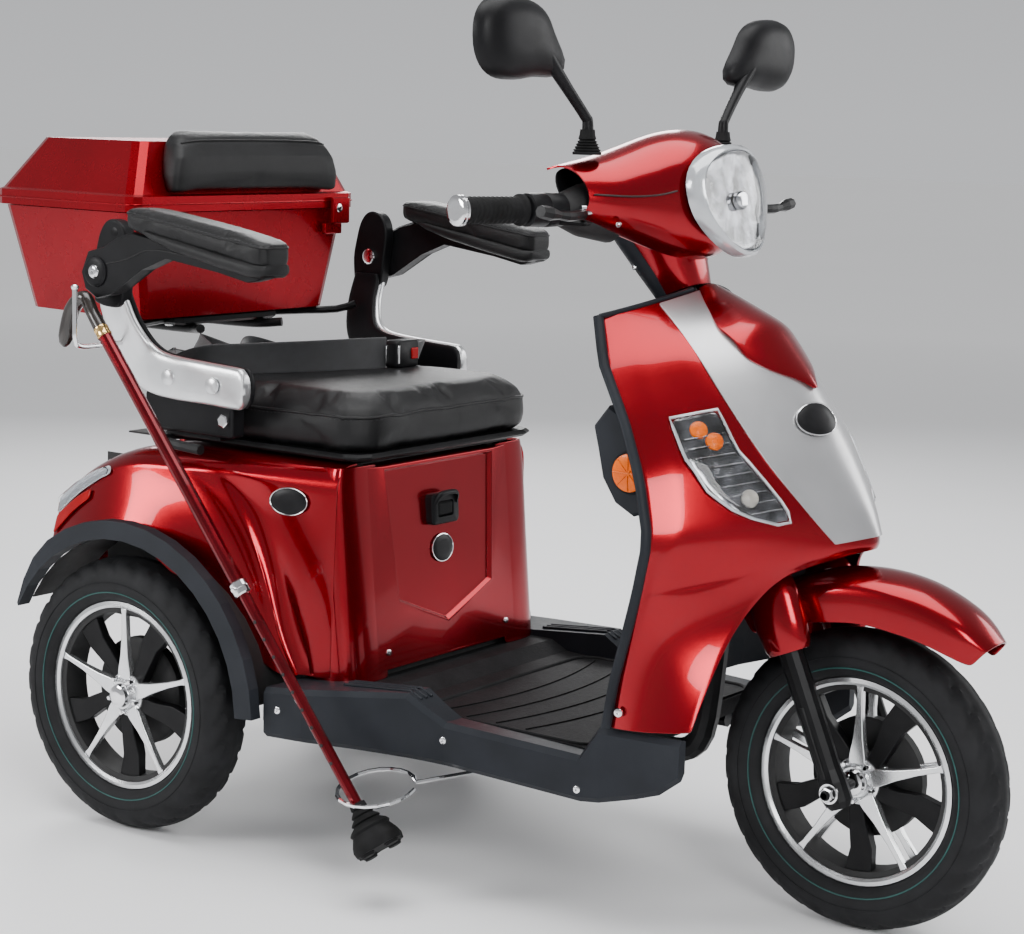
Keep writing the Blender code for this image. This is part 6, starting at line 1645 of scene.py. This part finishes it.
# ---------------------------------------------------------------- box and cane
def build_box():
    soften(NODES["top_box_tub"], 0.0022, 2, 25)
    soften(NODES["top_box_lid"], 0.0022, 2, 25)
    path = [(x, y, 0.9520) for x, y in box_outline(-0.4145, -0.0575, 0.2665, 0.2245, 0.0185, 5)]
    swept("lid_rim_line", "box_red", "lid", path, 0.0014, 6, closed=True)
    for k, y in enumerate((-0.120, 0.120)):
        rounded(f"box_hinge_{k}", "black_plastic", "lid", (-0.4190, y - 0.028, 0.9455), (-0.4135, y + 0.028, 0.9600),
                0.002)
        rounded(f"box_hinge_leaf_{k}", "black_plastic", "seat", (-0.4135, y - 0.028, 0.9140),
                (-0.4040, y + 0.028, 0.9300), 0.002)
        swept(f"box_hinge_pin_{k}", "chrome", "lid", [(-0.4175, y - 0.030, 0.9445), (-0.4175, y + 0.030, 0.9445)],
              0.0026, 10)
    rounded("box_latch_bracket", "box_red", "seat", (-0.0665, 0.186, 0.896), (-0.0580, 0.230, 0.914), 0.002)
    turned("box_lock", "chrome", "latch", (-0.0472, 0.208, 0.940), (-0.0448, 0.208, 0.940),
           [(0, 0.0070), (0.8, 0.0070), (1, 0.0055)], 20)
    soften(NODES["box_latch"], 0.0012, 2, 30)
    for k, (x, y) in enumerate(((-0.150, -0.090), (-0.150, 0.090), (-0.260, -0.080), (-0.260, 0.080))):
        turned(f"tray_bolt_{k}", "chrome", "seat", (x, y, 0.7560), (x, y, 0.7510),
               [(0, 0.0085), (0.8, 0.0085), (1, 0.0070)], 6, smooth=20)
    for k, y in enumerate((-0.070, 0.070)):
        swept(f"carrier_rail_{k}", "black_steel", "seat",
              catmull([(-0.330, y, 0.7490), (-0.220, y, 0.7480), (-0.120, y * 1.1, 0.7480),
                       (-0.075, y * 1.4, 0.7520)], 5), 0.0075, 10)
    swept("carrier_cross", "black_steel", "seat", [(-0.290, -0.090, 0.7485), (-0.290, 0.090, 0.7485)], 0.0065, 10)


def box_outline(x0, x1, half_front, half_rear, radius, steps):
    points = []
    for x, y in rounded_rect((x0 + x1) / 2, 0, (x1 - x0) / 2, 1.0, radius, steps):
        f = (x - x0) / (x1 - x0)
        half = half_rear + (half_front - half_rear) * f
        points.append((x, math.copysign(half - (1.0 - abs(y)), y)))
    return points


CANE_TOP = Vector((-0.018, -0.368, 0.766))
CANE_FOOT = Vector((0.487, -0.368, 0.134))


def cane_point(f):
    return CANE_TOP.lerp(CANE_FOOT, f)


def build_cane():
    down = (CANE_FOOT - CANE_TOP).normalized()
    route = [cane_point(-0.012), cane_point(-0.045), CANE_TOP + Vector((-0.040, 0, 0.050)),
             CANE_TOP + Vector((-0.066, 0, 0.030)), CANE_TOP + Vector((-0.082, 0, -0.020))]
    path = catmull(route, 6)
    n = len(path)
    radii = [table(i / (n - 1),
                   [(0, 0.0108), (0.25, 0.0098), (0.5, 0.0108), (0.8, 0.0122), (0.95, 0.0122), (1.0, 0.0090)])
             for i in range(n)]
    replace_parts(swept("cane_grip", "cane_handle", "cane", path, radii, 18), "cane_handle")
    tip = path[-1]
    turned("cane_grip_end", "cane_handle", "cane", tip, tip + Vector((-0.001, 0, -0.007)),
           [(0, 0.0090), (0.5, 0.0072), (1, 0.003)], 18)
    turned("cane_collar", "gold", "cane", cane_point(-0.012), cane_point(0.008),
           [(0, 0.0112), (0.15, 0.0118), (0.25, 0.0112), (0.75, 0.0112), (0.85, 0.0118), (1, 0.0112)], 24)
    turned("cane_lock_collar", "chrome", "cane", cane_point(0.538), cane_point(0.565),
           [(0, 0.0118), (0.1, 0.0140), (0.45, 0.0144), (0.5, 0.0130), (0.55, 0.0144), (0.9, 0.0140), (1, 0.0118)],
           24)
    turned("cane_lock_button", "chrome", "cane", cane_point(0.552) + Vector((0, -0.012, 0)),
           cane_point(0.552) + Vector((0, -0.018, 0)), [(0, 0.0042), (0.8, 0.0042), (1, 0.003)], 14)
    for k in range(9):
        p = cane_point(0.62 + 0.036 * k) + Vector((0, -0.0080, 0))
        turned(f"cane_hole_{k}", "well_black", "cane_lower", p, p + Vector((0, -0.0008, 0)),
               [(0, 0.0028), (1, 0.0026)], 12)
    profile = [(0, 0.0115), (0.10, 0.0125), (0.12, 0.0108), (0.20, 0.0155), (0.24, 0.0170), (0.27, 0.0150),
               (0.34, 0.0205),
               (0.38, 0.0225), (0.41, 0.0200), (0.50, 0.0290), (0.55, 0.0320), (0.60, 0.0300), (0.78, 0.0375),
               (0.88, 0.0400),
               (1.0, 0.0385)]
    x, y, z = frame_of(down)
    top, bottom = cane_point(0.9907), cane_point(1.078)
    loops = []
    sides = 64
    for f, r in profile:
        loop = []
        for k in range(sides):
            a = 2 * math.pi * k / sides
            lobe = max(0.0, f - 0.35) / 0.65
            rr = r * (1 - 0.20 * lobe * (0.5 + 0.5 * math.cos(4 * a)) ** 3)
            loop.append(top.lerp(bottom, f) + x * (rr * math.cos(a)) + y * (rr * math.sin(a)))
        loops.append(loop)
    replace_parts(loft("cane_foot_rubber", "rubber", "cane_lower", loops, smooth=45), "cane_foot")
    for k in range(4):
        a = math.pi / 4 + math.pi / 2 * k
        mid = bottom + x * (0.0265 * math.cos(a)) + y * (0.0265 * math.sin(a))
        turned(f"cane_foot_pad_{k}", "rubber", "cane_lower", mid - down * 0.004, mid + down * 0.0045,
               [(0, 0.0105), (0.6, 0.0112), (0.75, 0.0098), (1, 0.0092)], 18)
    swept("cane_hook", "chrome", "seat",
          catmull([(-0.056, -0.2900, 0.7440), (-0.056, -0.3300, 0.7430), (-0.056, -0.3760, 0.7435),
                   (-0.056, -0.3880, 0.7540),
                   (-0.056, -0.3890, 0.7900), (-0.056, -0.3890, 0.8300)], 6), 0.0040, 10)
    turned("cane_hook_ball", "chrome", "seat", (-0.056, -0.3890, 0.8290), (-0.056, -0.3890, 0.8370),
           [(0, 0.0040), (0.3, 0.0058), (0.7, 0.0058), (1, 0.003)], 14)


def soften_solids():
    widths = {
        "side_sill_left": 0.006, "side_sill_right": 0.006, "glove_box": 0.006, "inner_shield": 0.004,
        "armrest_arm_left": 0.003, "armrest_arm_right": 0.003, "rear_panel": 0.001,
        "wheel_arch_flare_left": 0.010, "wheel_arch_flare_right": 0.010, "floor_deck": 0.002, "battery_pack": 0.003,
        "motor_controller": 0.002,
    }
    for name, width in widths.items():
        soften(NODES[name], width, 3, 28)


make_camera()
MATS = make_materials()
make_stage()
dress()
soften_solids()
build_wheels()
build_fender()
build_shield()
build_inner_shield()
build_head()
build_controls()
build_seat_base()
build_rear()
brackets()
build_box()
build_cane()
build_belt()
build_seat_cushion()
build_armrest_pads()
build_backrest()
